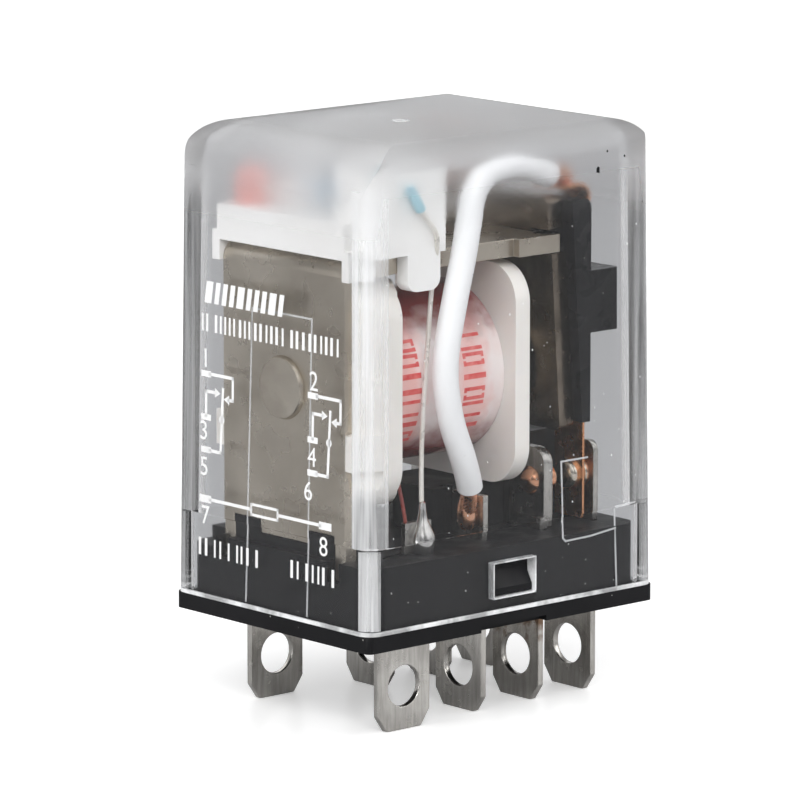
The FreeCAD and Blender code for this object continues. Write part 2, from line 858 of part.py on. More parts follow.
def make_bobbin():
    blank = new_body("bobbin_blank")
    low = "coil_height - bobbin_half_height"
    high = "coil_height + bobbin_half_height"
    outline = rect("-bobbin_half_width", "bobbin_half_width", low, high)
    back_start = "(-yoke_back + yoke_thickness + 0.02)"
    slab(
        blank, "YZ_Plane",
        f"(back_flange_end + {back_start}) / 2", f"back_flange_end - {back_start}", outline,
    )
    round_edges(blank, "bobbin_corner", lambda middle, along: abs(along.x) > 0.9)
    front = new_body("bobbin_front")
    slab(
        front, "YZ_Plane", "(front_flange_start + front_flange_end) / 2",
        "front_flange_end - front_flange_start", outline,
    )
    round_edges(front, "bobbin_corner", lambda middle, along: abs(along.x) > 0.9)
    barrel = new_body("bobbin_barrel")
    spin(barrel, rect("back_flange_end - 0.5", "front_flange_start + 0.5", "0", "barrel_radius"))
    bore = new_body("bobbin_bore")
    spin(bore, rect("-yoke_back", "front_flange_end + 1", "0", "core_radius + fit_gap"))
    # two lugs that clip round the sides of the yoke's back plate
    pieces = [blank, front, barrel]
    for side, place_name in ((-1, "near"), (1, "far")):
        lug = new_body(f"bobbin_lug_{place_name}")
        slab(
            lug, "YZ_Plane", f"({back_start} - lug_reach / 2 + 0.2)", "lug_reach + 0.4",
            mirror(rect(
                "yoke_half_width + fit_gap", "yoke_half_width + 0.9",
                "lug_height - 1.3", "lug_height + 1.3",
            ), side),
        )
        pieces.append(lug)
    solid = doc.addObject("Part::MultiFuse", "bobbin_solid")
    solid.Shapes = pieces
    bobbin = doc.addObject("Part::Cut", "bobbin")
    bobbin.Label = "bobbin"
    bobbin.Base = solid
    bobbin.Tool = bore
    subparts.append(bobbin)


def make_winding():
    winding = subpart("coil_winding")
    start = "back_flange_end + 0.02"
    end = "front_flange_start - 0.02"
    spin(winding, rect(start, end, "barrel_radius + 0.01", "winding_radius"))
    tape = subpart("coil_tape")
    spin(tape, rect(start, end, "winding_radius + 0.01", "tape_radius"))


# Lamp and its holder ------------------------------------------------------------------------

def make_lamp_holder():
    """White cap over the yoke's back corner: a tray, a tall block and a hanging tab."""
    body = subpart("lamp_holder")
    half = "holder_half_width"
    slab(
        body, "XY_Plane",
        "(yoke_top + 0.02 + holder_tray_top) / 2", "holder_tray_top - yoke_top - 0.02",
        rect("-holder_back", "holder_front", f"-{half}", half),
    )
    slab(
        body, "XY_Plane",
        "(holder_tray_top - 1 + holder_block_top) / 2", "holder_block_top - holder_tray_top + 1",
        rect(
            "-holder_back + holder_inset", "holder_front",
            "-holder_side", "-holder_side + holder_block_width",
        ),
    )
    side_middle = "-(holder_side + yoke_half_width + 0.1) / 2"
    side_depth = "holder_side - yoke_half_width - 0.1"
    slab(
        body, "XZ_Plane", side_middle, side_depth,
        rect(
            "-holder_back + holder_inset", "holder_front",
            "holder_bottom - 0.6", "holder_block_top",
        ),
    )
    slab(
        body, "XZ_Plane", side_middle, side_depth,
        rect("holder_tab_start", "holder_tab_end", "holder_tab_bottom", "holder_bottom"),
    )
    # small cheeks that grip the sides of the yoke's back corner
    for side in (-1, 1):
        slab(
            body, "XZ_Plane", f"{side} * (yoke_half_width + fit_gap + 0.4)", "0.8",
            rect("-holder_back", "-holder_back + 1.6", "holder_cheek_bottom", "holder_bottom"),
        )
    round_edges(
        body, "holder_tab_round",
        lambda middle, along: abs(along.y) > 0.9 and middle.z < size("holder_tab_bottom") + 0.1,
    )


def make_lamp():
    radius = size("lamp_radius")
    foot = Vector(-10.4, 5.6, size("holder_tray_top"))
    shoulder = foot + Vector(0, 0, size("lamp_stem"))
    dome = Part.makeCylinder(radius, size("lamp_stem"), foot).fuse(Part.makeSphere(radius, shoulder))
    shaped("indicator_lamp", dome.removeSplitter())
    near_end = Vector(-8.6, -1.2, 31.6)
    along = Vector(0, size("resistor_length"), 0)
    body = Part.makeCylinder(size("resistor_radius"), size("resistor_length"), near_end, along)
    shaped("lamp_resistor", body)
    link = [
        foot + Vector(0, -radius - 0.02, 1.2),
        foot + Vector(0, -radius - 0.8, 1.2),
        near_end + along + Vector(0, 0.6, 0),
        near_end + along,
    ]
    shaped("lamp_link", wire_rod(route(link), size("lead_radius")))


def make_leads():
    """The lamp's lead down to coil terminal 8, its twin, and the winding's two ends."""
    radius = size("lead_radius")
    sleeve = [Vector(-7.5, -8.6, 32.9), Vector(-6.5, -8.6, 31.2)]
    shaped("lead_sleeve", wire_rod(route(sleeve), size("sleeve_radius")))
    leads = {
        8: wire_rod(route([
            sleeve[1],
            Vector(-5.6, -8.6, 29.7),
            Vector(-4.45, -8.2, 28.5),
            Vector(-4.5, -7.1, 25.6),
            Vector(-4.9, -6.95, 20.7),
            Vector(-5.45, -6.95, 14.6),
            Vector(-5.7, -7.3, 9.6),
            Vector(-5.75, -7.52, 7.4),
        ]), radius),
        7: wire_rod(route([
            Vector(-10.4, 6.93, 31.4),
            Vector(-10.0, 7.8, 31.0),
            Vector(-8.6, 8.6, 28.0),
            Vector(-6.9, 8.6, 20.0),
            Vector(-6.0, 8.2, 13.0),
            Vector(-5.8, 7.6, 9.6),
            Vector(-5.75, 7.52, 7.4),
        ]), radius),
    }
    for side, number in ((-1, 8), (1, 7)):
        shaped(f"lamp_lead_{number}", leads[number])
        shaped(f"coil_lead_{number}", wire_rod(route([
            Vector(-8.1, side * 5.55, 14.1),
            Vector(-7.9, side * 6.2, 12.4),
            Vector(-7.4, side * 6.5, 9.6),
            Vector(-7.0, side * 6.6, 7.2),
        ]), size("coil_lead_radius")))
        # solder bead on the outer face of the terminal, round the end of the lead
        face = side * (size("coil_row") + size("blade_thickness") / 2)
        bead = Part.makeSphere(size("coil_bead"), Vector(-5.75, face, 7.3))
        inner_half = Part.makeBox(4, 2, 4, Vector(-7.75, min(face, face - 2 * side), 5.3))
        shaped(f"coil_solder_{number}", bead.cut(inner_half).cut(leads[number]))


# Flexible braids ------------------------------------------------------------------------------

def braid_points(side):
    """From the top of the contact spring, over the yoke and down to the common post."""
    return [
        Vector(8.6, side * 6.0, 31.72),
        Vector(6.2, side * 7.6, 32.1),
        Vector(1.6, side * 8.4, 33.6),
        Vector(-2.3, side * 8.45, 32.8),
        Vector(-3.0, side * 8.45, 28.4),
        Vector(-4.2, side * 8.45, 24.0),
        Vector(-5.2, side * 8.45, 19.6),
        Vector(-4.6, side * 8.45, 15.6),
        Vector(-2.9, side * 8.2, 12.2),
        Vector(-1.3, side * 7.2, 9.4),
        Vector(-0.8, side * 6.2, 7.6),
    ]


def make_braids():
    for side, number in ((-1, 6), (1, 5)):
        path = route(braid_points(side))
        braid = wire_rod(path, size("braid_radius"))
        shaped(f"braid_{number}", braid)
        # the tube leaves the first and the last stretch of the braid bare
        covered = Part.Wire(path.Edges[1:-2])
        outer = wire_rod(covered, size("tube_radius"))
        inner = wire_rod(covered, size("tube_bore"))
        shaped(f"braid_tube_{number}", outer.cut(inner))
        # solder that joins the braid to the common post
        face = -size("blade_thickness") / 2
        bead = Part.makeSphere(size("braid_bead"), Vector(face, side * 6.1, 7.6))
        beyond = Part.makeBox(4, 4, 4, Vector(face, side * 6.1 - 2, 5.6))
        shaped(f"braid_solder_{number}", bead.cut(beyond).cut(braid))


def make_return_spring():
    """Close-wound tension spring between the yoke's hook and the armature's top."""
    start = Vector(size("hook_at") + size("hook_thickness") / 2 + 0.02, 0, 29.2)
    length = 8.4
    wire = 0.17
    radius = 1.0
    pitch = 0.42
    helix = Part.makeHelix(pitch, length - 2 * wire, radius)
    helix.Placement = FreeCAD.Placement(start + Vector(wire, 0, 0), FreeCAD.Rotation(Vector(0, 1, 0), 90))
    begin = helix.Edges[0].valueAt(helix.Edges[0].FirstParameter)
    heading = helix.Edges[0].tangentAt(helix.Edges[0].FirstParameter)
    section = Part.Wire(Part.makeCircle(wire, begin, heading))
    coil = Part.Wire(helix.Edges).makePipeShell([section], True, True)
    shaped("return_spring", coil)


# Everything ----------------------------------------------------------------------------------------

def check_and_export():
    doc.recompute()
    for item in doc.Objects:
        if "Invalid" in item.State or "Error" in item.State:
            raise RuntimeError(f"{item.Label}: {item.State}")
    for item in subparts:
        if item.Shape.isNull() or not item.Shape.isValid():
            raise RuntimeError(f"{item.Label}: bad shape")
    os.makedirs("parts", exist_ok=True)
    for item in subparts:
        item.Shape.exportStep(f"parts/{item.Label}.step")
        box = item.Shape.BoundBox
        print(
            f"{item.Label:20s} solids {len(item.Shape.Solids)} volume {item.Shape.Volume:9.2f}"
            f" x {box.XMin:7.2f} {box.XMax:7.2f} y {box.YMin:7.2f} {box.YMax:7.2f}"
            f" z {box.ZMin:7.2f} {box.ZMax:7.2f}"
        )


make_base()
make_cover()
make_terminals()
make_moving_contacts()
make_yoke()
make_armature()
make_contact_block()
make_core()
make_bobbin()
make_winding()
make_lamp_holder()
make_lamp()
make_leads()
make_braids()
make_return_spring()
check_and_export()
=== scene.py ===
"""Looks of the plug-in relay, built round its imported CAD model.

The frame is the CAD's: +X runs from the yoke's back plate to the contacts, +Z up, and
z = 0 is the underside of the base. Points and sizes below are in millimetres, and the
mesh builders turn them into metres.
"""
import math
import random

import bpy
from mathutils import Matrix, Vector


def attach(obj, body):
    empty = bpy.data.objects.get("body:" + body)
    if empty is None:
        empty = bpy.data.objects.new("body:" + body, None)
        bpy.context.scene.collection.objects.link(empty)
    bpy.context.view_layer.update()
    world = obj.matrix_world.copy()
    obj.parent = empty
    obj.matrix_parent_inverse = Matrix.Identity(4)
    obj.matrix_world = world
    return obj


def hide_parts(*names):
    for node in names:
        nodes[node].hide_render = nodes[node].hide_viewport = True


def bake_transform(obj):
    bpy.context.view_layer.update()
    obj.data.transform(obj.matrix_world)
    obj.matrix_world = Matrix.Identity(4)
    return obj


MM = 0.001
STILL = "frame"
MOVING = "armature_unit"

# the cover: its outside at the foot, its upright corners' radius, and how its walls lean in
COVER_HALF_LENGTH = 14.1
COVER_HALF_WIDTH = 10.85
COVER_FOOT = 1.23
COVER_TOP = 36.0
COVER_CORNER = 1.2
COVER_DRAFT = math.tan(math.radians(0.6))
# below this height the cover's wall is thin, to fit round the base
SKIRT_TOP = 7.3
# the coil's axis
COIL_HEIGHT = 17.7
# the lines of the label's diagram
PRINT_WIDTH = 0.24

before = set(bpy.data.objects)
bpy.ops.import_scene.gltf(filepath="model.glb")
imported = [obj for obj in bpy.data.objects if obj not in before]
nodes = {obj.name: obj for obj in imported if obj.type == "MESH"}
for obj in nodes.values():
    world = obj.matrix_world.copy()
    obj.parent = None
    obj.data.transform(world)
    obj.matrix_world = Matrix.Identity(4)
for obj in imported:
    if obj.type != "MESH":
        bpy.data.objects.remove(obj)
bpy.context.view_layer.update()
scene = bpy.context.scene


# Camera, lights and floor --------------------------------------------------------------

def make_camera():
    """A long lens, level with the upper part of the object and to the left of its wide side."""
    azimuth, elevation, roll = math.radians(-41.61), math.radians(10.51), math.radians(0.04)
    back = Vector((
        math.sin(azimuth) * math.cos(elevation),
        -math.cos(azimuth) * math.cos(elevation),
        math.sin(elevation),
    ))
    data = bpy.data.cameras.new("camera")
    data.sensor_width = 36.0
    data.lens = 264.1
    data.clip_start = 0.01
    data.clip_end = 20.0
    camera = bpy.data.objects.new("camera", data)
    scene.collection.objects.link(camera)
    camera.rotation_mode = "QUATERNION"
    turn = (-back).to_track_quat("-Z", "Y")
    camera.rotation_quaternion = turn @ Matrix.Rotation(roll, 4, "Z").to_quaternion()
    camera.location = (-0.28175, -0.31552, 0.09369)
    bpy.context.scene.camera = camera


def area_light(name, place, width, height, power, aim=(0, 0, 0.015)):
    """A soft light at a place in metres, turned to the middle of the object."""
    data = bpy.data.lights.new(name, "AREA")
    data.shape = "RECTANGLE"
    data.size = width
    data.size_y = height
    data.energy = power
    lamp = bpy.data.objects.new(name, data)
    scene.collection.objects.link(lamp)
    lamp.location = place
    # its glare doesn't burn out the frosted top
    lamp.visible_transmission = False
    lamp.rotation_mode = "QUATERNION"
    lamp.rotation_quaternion = (Vector(aim) - Vector(place)).to_track_quat("-Z", "Y")


def make_world():
    """A white studio, greyer at the horizon, with soft dim patches for the gloss to mirror."""
    world = bpy.data.worlds.new("studio")
    scene.world = world
    world.use_nodes = True
    tree = world.node_tree
    background = tree.nodes["Background"]
    coordinates = tree.nodes.new("ShaderNodeTexCoord")
    parts = tree.nodes.new("ShaderNodeSeparateXYZ")
    ramp = tree.nodes.new("ShaderNodeValToRGB")
    tree.links.new(coordinates.outputs["Generated"], parts.inputs[0])
    # the direction's height, -1 to 1, becomes 0 to 1
    shift = tree.nodes.new("ShaderNodeMath")
    shift.operation = "MULTIPLY_ADD"
    shift.inputs[1].default_value = 0.5
    shift.inputs[2].default_value = 0.5
    tree.links.new(parts.outputs["Z"], shift.inputs[0])
    tree.links.new(shift.outputs[0], ramp.inputs[0])
    horizon, overhead = ramp.color_ramp.elements
    horizon.position = 0.50
    horizon.color = (0.45, 0.45, 0.46, 1)
    overhead.position = 0.80
    overhead.color = (1.25, 1.25, 1.25, 1)
    patches = tree.nodes.new("ShaderNodeTexNoise")
    patches.inputs["Scale"].default_value = 1.3
    patches.inputs["Detail"].default_value = 1.0
    tree.links.new(coordinates.outputs["Generated"], patches.inputs["Vector"])
    dim = tree.nodes.new("ShaderNodeMapRange")
    for name, value in (("From Min", 0.42), ("From Max", 0.60), ("To Min", 0.25), ("To Max", 1.25)):
        dim.inputs[name].default_value = value
    tree.links.new(patches.outputs[0], dim.inputs["Value"])
    tree.links.new(dim.outputs[0], background.inputs["Strength"])
    tree.links.new(ramp.outputs[0], background.inputs["Color"])
    # the backdrop itself is plain white
    backdrop = tree.nodes.new("ShaderNodeBackground")
    backdrop.inputs["Strength"].default_value = 1.0
    backdrop.inputs["Color"].default_value = (1.0, 1.0, 1.0, 1.0)
    path = tree.nodes.new("ShaderNodeLightPath")
    either = tree.nodes.new("ShaderNodeMixShader")
    tree.links.new(path.outputs["Is Camera Ray"], either.inputs[0])
    tree.links.new(background.outputs[0], either.inputs[1])
    tree.links.new(backdrop.outputs[0], either.inputs[2])
    tree.links.new(either.outputs[0], tree.nodes["World Output"].inputs["Surface"])


def make_floor():
    """A pale floor under the blades' tips, kept white where the camera sees it."""
    half = 3.0
    low = -0.00702
    data = bpy.data.meshes.new("floor")
    corners = [(-half, -half, low), (half, -half, low), (half, half, low), (-half, half, low)]
    data.from_pydata(corners, [], [(0, 1, 2, 3)])
    floor = bpy.data.objects.new("floor", data)
    scene.collection.objects.link(floor)
    look = Look("floor", (0.93, 0.93, 0.93), 0.28, Specular_IOR_Level=0.2)
    seen = look.add("ShaderNodeLightPath").outputs["Is Camera Ray"]
    look.set("Base Color", look.mix(seen, (0.50, 0.50, 0.505), (0.97, 0.97, 0.97)))
    look.set("Emission Color", (1.0, 1.0, 1.0, 1.0))
    look.set("Emission Strength", look.math("MULTIPLY", seen, 0.30))
    data.materials.append(look.material)


# Materials -----------------------------------------------------------------------------

class Look:
    """One material with a Principled shader, and short ways to add nodes to it."""

    def __init__(self, name, colour, roughness, metallic=0.0, **more):
        self.material = bpy.data.materials.new(name)
        self.material.use_nodes = True
        self.tree = self.material.node_tree
        self.shader = self.tree.nodes["Principled BSDF"]
        self.place = self.add("ShaderNodeTexCoord").outputs["Object"]
        self.normal = None
        self.set("Base Color", (*colour, 1.0))
        self.set("Roughness", roughness)
        self.set("Metallic", metallic)
        for name, value in more.items():
            self.set(name.replace("_", " "), value)

    def feed(self, socket, value):
        if isinstance(value, bpy.types.NodeSocket):
            self.tree.links.new(value, socket)
        else:
            socket.default_value = value

    def set(self, name, value):
        self.feed(self.shader.inputs[name], value)

    def add(self, kind, inputs=None, **settings):
        node = self.tree.nodes.new(kind)
        for name, value in settings.items():
            setattr(node, name, value)
        for name, value in (inputs or {}).items():
            self.feed(node.inputs[name], value)
        return node

    def noise(self, per_mm, detail=3.0, distortion=0.0):
        """Smooth noise, about 0.5. per_mm is its patches in a millimetre, or one number an axis."""
        steps = per_mm if isinstance(per_mm, tuple) else (per_mm,) * 3
        scale = tuple(step / MM for step in steps)
        moved = self.add("ShaderNodeMapping", {"Vector": self.place, "Scale": scale}).outputs[0]
        inputs = {"Vector": moved, "Scale": 1.0, "Detail": detail, "Distortion": distortion}
        return self.add("ShaderNodeTexNoise", inputs).outputs[0]

    def between(self, value, low, high, start=0.35, end=0.65):
        """Number that goes from low to high as value goes from start to end."""
        inputs = {"Value": value, "From Min": start, "From Max": end, "To Min": low, "To Max": high}
        return self.add("ShaderNodeMapRange", inputs).outputs[0]

    def mix(self, share, first, second):
        """Colour between two colours."""
        node = self.add("ShaderNodeMix", data_type="RGBA")
        self.feed(node.inputs[0], share)
        for slot, colour in ((6, first), (7, second)):
            self.feed(node.inputs[slot], (*colour, 1.0) if isinstance(colour, tuple) else colour)
        return node.outputs[2]

    def math(self, operation, first, second=0.0):
        node = self.add("ShaderNodeMath", operation=operation)
        self.feed(node.inputs[0], first)
        self.feed(node.inputs[1], second)
        return node.outputs[0]

    def axis(self, name):
        """The object's own X, Y or Z, in millimetres."""
        parts = self.add("ShaderNodeSeparateXYZ", {"Vector": self.place})
        return self.math("DIVIDE", parts.outputs[name], MM)

    def stain(self, share, colour):
        """Lay a colour over the one there is."""
        there = self.shader.inputs["Base Color"].links[0].from_socket
        self.set("Base Color", self.mix(share, there, colour))

    def bump(self, height, depth_mm, strength=1.0):
        inputs = {"Height": height, "Distance": depth_mm * MM, "Strength": strength}
        if self.normal is not None:
            inputs["Normal"] = self.normal
        self.normal = self.add("ShaderNodeBump", inputs).outputs[0]
        self.set("Normal", self.normal)


def tinted(name, colour, second, rough, metallic=0.0, blotch=0.25, grain=6.0, depth=0.002, **more):
    """A surface whose colour wanders between two tones, with a fine grain."""
    look = Look(name, colour, rough[0], metallic, **more)
    share = look.between(look.noise(blotch, 4.0, 0.4), 0.0, 1.0)
    look.set("Base Color", look.mix(share, colour, second))
    look.set("Roughness", look.between(look.noise(blotch * 4, 5.0), rough[0], rough[1]))
    look.bump(look.noise(grain, 4.0), depth)
    return look


def metal(name, colour, second, rough, **more):
    return tinted(name, colour, second, rough, metallic=1.0, **more)


def brushed(look, per_mm, depth, strength=0.6):
    """Fine parallel scratches: per_mm holds the scratches in a millimetre along each axis."""
    look.bump(look.noise(per_mm, 6.0), depth, strength)


def blade_look(name, stain_from=None):
    """Rolled and tinned strip with dark streaks along it, and a brown stain up from a height."""
    look = metal(
        name, (0.72, 0.70, 0.66), (0.52, 0.50, 0.47), (0.18, 0.28), blotch=0.22, grain=3.0, depth=0.001,
    )
    brushed(look, (14.0, 14.0, 0.12), 0.0015)
    streaks = look.between(look.noise((3.0, 3.0, 0.3), 5.0, 0.5), 0.0, 0.45)
    look.stain(streaks, (0.27, 0.26, 0.245))
    if stain_from is not None:
        height = look.axis("Z")
        edge = look.math("ADD", height, look.between(look.noise(0.9, 4.0), -1.2, 1.2))
        share = look.between(edge, 0.0, 0.85, stain_from, stain_from + 1.6)
        share = look.math("MULTIPLY", share, look.between(height, 1.0, 0.0, 1.0, 2.0))
        look.stain(share, (0.16, 0.075, 0.025))
    return look


def black_plastic(name, colour, rough, specks):
    """Moulded black plastic with a fine skin and a few pale specks of dust."""
    look = tinted(
        name, colour, tuple(c * 1.5 for c in colour), rough, blotch=0.12, grain=9.0, depth=0.0012,
        Specular_IOR_Level=0.16,
    )
    cells = look.add(
        "ShaderNodeTexVoronoi",
        {"Vector": look.place, "Scale": 0.9 / MM, "Randomness": 1.0},
    ).outputs["Distance"]
    look.stain(look.between(cells, 1.0, 0.0, specks, specks + 0.02), (0.45, 0.44, 0.42))
    return look


def cover_look():
    """Clear plastic, frosted over the top and its rounded edges, a little hazy on the narrow sides."""
    look = Look("clear_cover", (0.88, 0.885, 0.895), 0.0, IOR=1.36, Transmission_Weight=1.0)
    height = look.axis("Z")
    narrow = look.between(look.math("ABSOLUTE", look.axis("X")), 0.0, 1.0, 12.4, 13.0)
    # the frost comes down lower on the narrow sides
    lowered = look.math("ADD", height, look.math("MULTIPLY", narrow, 2.2))
    frost = look.between(lowered, 0.0, 1.0, 29.4, 34.4)
    grained = look.between(height, 0.0, 1.0, 28.9, 31.0)
    fine = look.between(look.noise(7.0, 3.0), -0.5, 0.5)
    rough = look.math("ADD", look.math("MULTIPLY", frost, 0.33), look.math("MULTIPLY", grained, 0.07))
    look.set("Roughness", look.math("ADD", rough, look.math("MULTIPLY", narrow, 0.09)))
    look.set("Base Color", look.mix(frost, (0.86, 0.865, 0.875), (0.76, 0.765, 0.775)))
    look.set("Specular Tint", (0.35, 0.35, 0.35, 1.0))
    look.bump(look.math("MULTIPLY", fine, grained), 0.006, 0.6)
    look.bump(look.noise(0.16, 2.0), 0.05, 0.25)
    haze = look.add("ShaderNodeBsdfDiffuse", {"Color": (0.72, 0.72, 0.73, 1.0)})
    share = look.math("ADD", look.math("MULTIPLY", frost, 0.05), 0.006)
    veiled = look.add("ShaderNodeMixShader", {0: share})
    look.tree.links.new(look.shader.outputs[0], veiled.inputs[1])
    look.tree.links.new(haze.outputs[0], veiled.inputs[2])
    through = look.add("ShaderNodeBsdfTransparent", {"Color": (0.97, 0.97, 0.97, 1.0)})
    # lamps shine in through the clear walls, and light caught inside a wall is let out of it
    path = look.add("ShaderNodeLightPath")
    trapped = look.math("GREATER_THAN", path.outputs["Ray Depth"], 7.5)
    swap = look.add("ShaderNodeMixShader", {0: look.math("MAXIMUM", path.outputs["Is Shadow Ray"], trapped)})
    look.tree.links.new(veiled.outputs[0], swap.inputs[1])
    look.tree.links.new(through.outputs[0], swap.inputs[2])
    output = look.tree.nodes["Material Output"]
    look.tree.links.new(swap.outputs[0], output.inputs["Surface"])
    return look


def tape_look():
    """Clear film over the winding: a painted milky sheen where it faces out, standing in for the bright
    surroundings mirrored in the film, and the wine red wire where it turns away.
    """
    look = Look("coil_tape", (0.85, 0.72, 0.70), 0.16, Coat_Weight=0.6, Coat_Roughness=0.08)
    height = look.math("SUBTRACT", look.axis("Z"), COIL_HEIGHT)
    away = look.math("ABSOLUTE", height)
    wave = look.between(look.noise(0.6, 3.0), -0.5, 0.5)
    # painted sheen: the film is pale round the coil's middle height, where it faces out, and wine red above
    # and below
    share = look.between(look.math("ADD", away, wave), 0.0, 1.0, 2.9, 5.4)
    painted_sheen = look.mix(look.between(look.noise(0.35, 4.0), 0.0, 1.0), (0.92, 0.76, 0.74), (0.96, 0.89, 0.87))
    # ink has bled into the film round the two printed columns
    from_middle = look.math("ABSOLUTE", look.math("ADD", look.axis("X"), 3.4))
    from_column = look.math("ABSOLUTE", look.math("ADD", from_middle, -3.15))
    pink = look.between(look.math("ADD", from_column, wave), 0.75, 0.0, 0.7, 1.9)
    painted_sheen = look.mix(pink, painted_sheen, (0.93, 0.50, 0.46))
    look.set("Base Color", look.mix(share, painted_sheen, (0.30, 0.05, 0.05)))
    look.bump(look.noise((5.0, 0.3, 0.3), 3.0), 0.02, 0.5)
    return look


def winding_look():
    """Red enamel with the fine lines of its turns."""
    look = tinted(
        "enamelled_wire", (0.20, 0.028, 0.026), (0.30, 0.06, 0.045), (0.22, 0.4), blotch=0.5, grain=4.0,
        Coat_Weight=0.5,
    )
    brushed(look, (9.0, 0.15, 0.15), 0.03, 0.9)
    return look


def corner_look(name, faint, strong):
    """The thick upright corners of the cover, with painted streaks of light standing in for the light that
    runs inside the plastic.
    """
    look = Look(name, (0.90, 0.905, 0.91), 0.25)
    streaks = look.noise((1.6, 1.6, 0.04), 2.0)
    height = look.axis("Z")
    fading = look.between(height, 1.0, 0.35, 29.0, 33.0)
    ridge = look.between(look.math("ABSOLUTE", look.axis("X")), 0.45, 1.0, 12.6, 13.4)
    share = look.math("MULTIPLY", look.between(streaks, faint, strong, 0.40, 0.60), fading)
    look.set("Alpha", look.math("MULTIPLY", share, ridge))
    return look


def edge_look():
    """Cut edges of the clear plastic, painted near white in places as a glint of the light they pipe; the
    pale dust specks use it too.
    """
    look = tinted("bright_edge", (0.97, 0.975, 0.98), (0.85, 0.86, 0.87), (0.15, 0.3), blotch=0.6)
    look.set("Alpha", look.between(look.noise(0.35, 4.0), 0.30, 1.0, 0.40, 0.58))
    return look


def red_lamp_look():
    """Red glass, barely lit."""
    look = Look(
        "red_lamp", (0.90, 0.42, 0.38), 0.2, Transmission_Weight=0.5, IOR=1.5,
        Emission_Color=(1.0, 0.25, 0.20, 1.0), Emission_Strength=0.04,
    )
    look.bump(look.noise(2.0), 0.01)
    return look


def white_moulding(name, colour, second, rough, blotch=0.1, weight=0.15, spread=(1.0, 1.0, 1.0), reach=0.5):
    """White plastic that light goes a little way into."""
    return tinted(
        name, colour, second, rough, blotch=blotch, depth=0.003, Subsurface_Weight=weight,
        Subsurface_Radius=tuple(channel * MM for channel in spread), Subsurface_Scale=reach,
    )


LOOKS = {
    "clear_cover": cover_look(),
    "black_base": black_plastic("black_base", (0.006, 0.006, 0.007), (0.38, 0.55), 0.035),
    "black_block": black_plastic("black_block", (0.006, 0.006, 0.007), (0.22, 0.36), 0.035),
    "tinned_blade": blade_look("tinned_blade"),
    "stained_blade": blade_look("stained_blade", -2.3),
    "silver_contact": metal("silver_contact", (0.94, 0.88, 0.78), (0.82, 0.73, 0.60), (0.12, 0.24)),
    "copper_rivet": metal("copper_rivet", (0.98, 0.54, 0.34), (0.88, 0.42, 0.24), (0.12, 0.2)),
    "copper_spring": metal("copper_spring", (0.93, 0.46, 0.24), (0.76, 0.34, 0.16), (0.20, 0.32)),
    "yoke_steel": metal(
        "yoke_steel", (0.66, 0.60, 0.51), (0.47, 0.42, 0.35), (0.25, 0.32), blotch=0.12, grain=2.0,
    ),
    "armature_steel": metal("armature_steel", (0.30, 0.25, 0.20), (0.13, 0.105, 0.08), (0.18, 0.28)),
    "core_iron": metal("core_iron", (0.70, 0.64, 0.54), (0.52, 0.46, 0.38), (0.16, 0.26)),
    "ring_copper": metal("ring_copper", (0.62, 0.28, 0.15), (0.40, 0.16, 0.08), (0.3, 0.5)),
    "white_bobbin": white_moulding(
        "white_bobbin", (0.90, 0.87, 0.83), (0.84, 0.81, 0.76), (0.34, 0.5), spread=(1.0, 0.8, 0.6),
    ),
    "enamelled_wire": winding_look(),
    "coil_tape": tape_look(),
    "white_holder": white_moulding("white_holder", (0.93, 0.925, 0.91), (0.89, 0.88, 0.86), (0.36, 0.5)),
    "red_lamp": red_lamp_look(),
    "blue_resistor": tinted("blue_resistor", (0.05, 0.30, 0.48), (0.03, 0.22, 0.38), (0.3, 0.45)),
    "tinned_wire": tinted("tinned_wire", (0.90, 0.885, 0.85), (0.80, 0.77, 0.71), (0.25, 0.4), 0.25),
    "blue_sleeve": tinted("blue_sleeve", (0.45, 0.72, 0.80), (0.38, 0.62, 0.72), (0.4, 0.5)),
    "solder": metal("solder", (0.80, 0.79, 0.77), (0.58, 0.56, 0.53), (0.08, 0.2), blotch=0.5),
    "white_tube": white_moulding(
        "white_tube", (0.94, 0.945, 0.95), (0.90, 0.905, 0.91), (0.3, 0.42), blotch=0.12, weight=0.2,
        reach=0.4,
    ),
    "copper_braid": metal(
        "copper_braid", (0.92, 0.47, 0.30), (0.60, 0.27, 0.15), (0.22, 0.4), blotch=1.2,
    ),
    "tinned_copper": metal(
        "tinned_copper", (0.98, 0.50, 0.30), (0.90, 0.50, 0.34), (0.16, 0.3), blotch=0.7,
    ),
    "spring_steel": metal(
        "spring_steel", (0.52, 0.50, 0.48), (0.36, 0.34, 0.32), (0.2, 0.35), blotch=0.8,
    ),
    "white_ink": tinted("white_ink", (0.92, 0.92, 0.92), (0.86, 0.86, 0.86), (0.45, 0.6)),
    "red_ink": tinted("red_ink", (0.74, 0.07, 0.07), (0.82, 0.20, 0.18), (0.4, 0.5), blotch=1.5),
    # mould lines and gate mark are painted pale, a glint of light on clear ridges
    "mould_line": tinted("mould_line", (0.86, 0.87, 0.88), (0.80, 0.81, 0.82), (0.2, 0.3), Alpha=0.5),
    # pale streaks painted on the cover's corners, standing in for light piped inside the plastic
    "corner_haze": corner_look("corner_haze", 0.28, 0.78),
    "corner_veil": corner_look("corner_veil", 0.08, 0.38),
    "bright_edge": edge_look(),
}


# Mesh builders ---------------------------------------------------------------------------

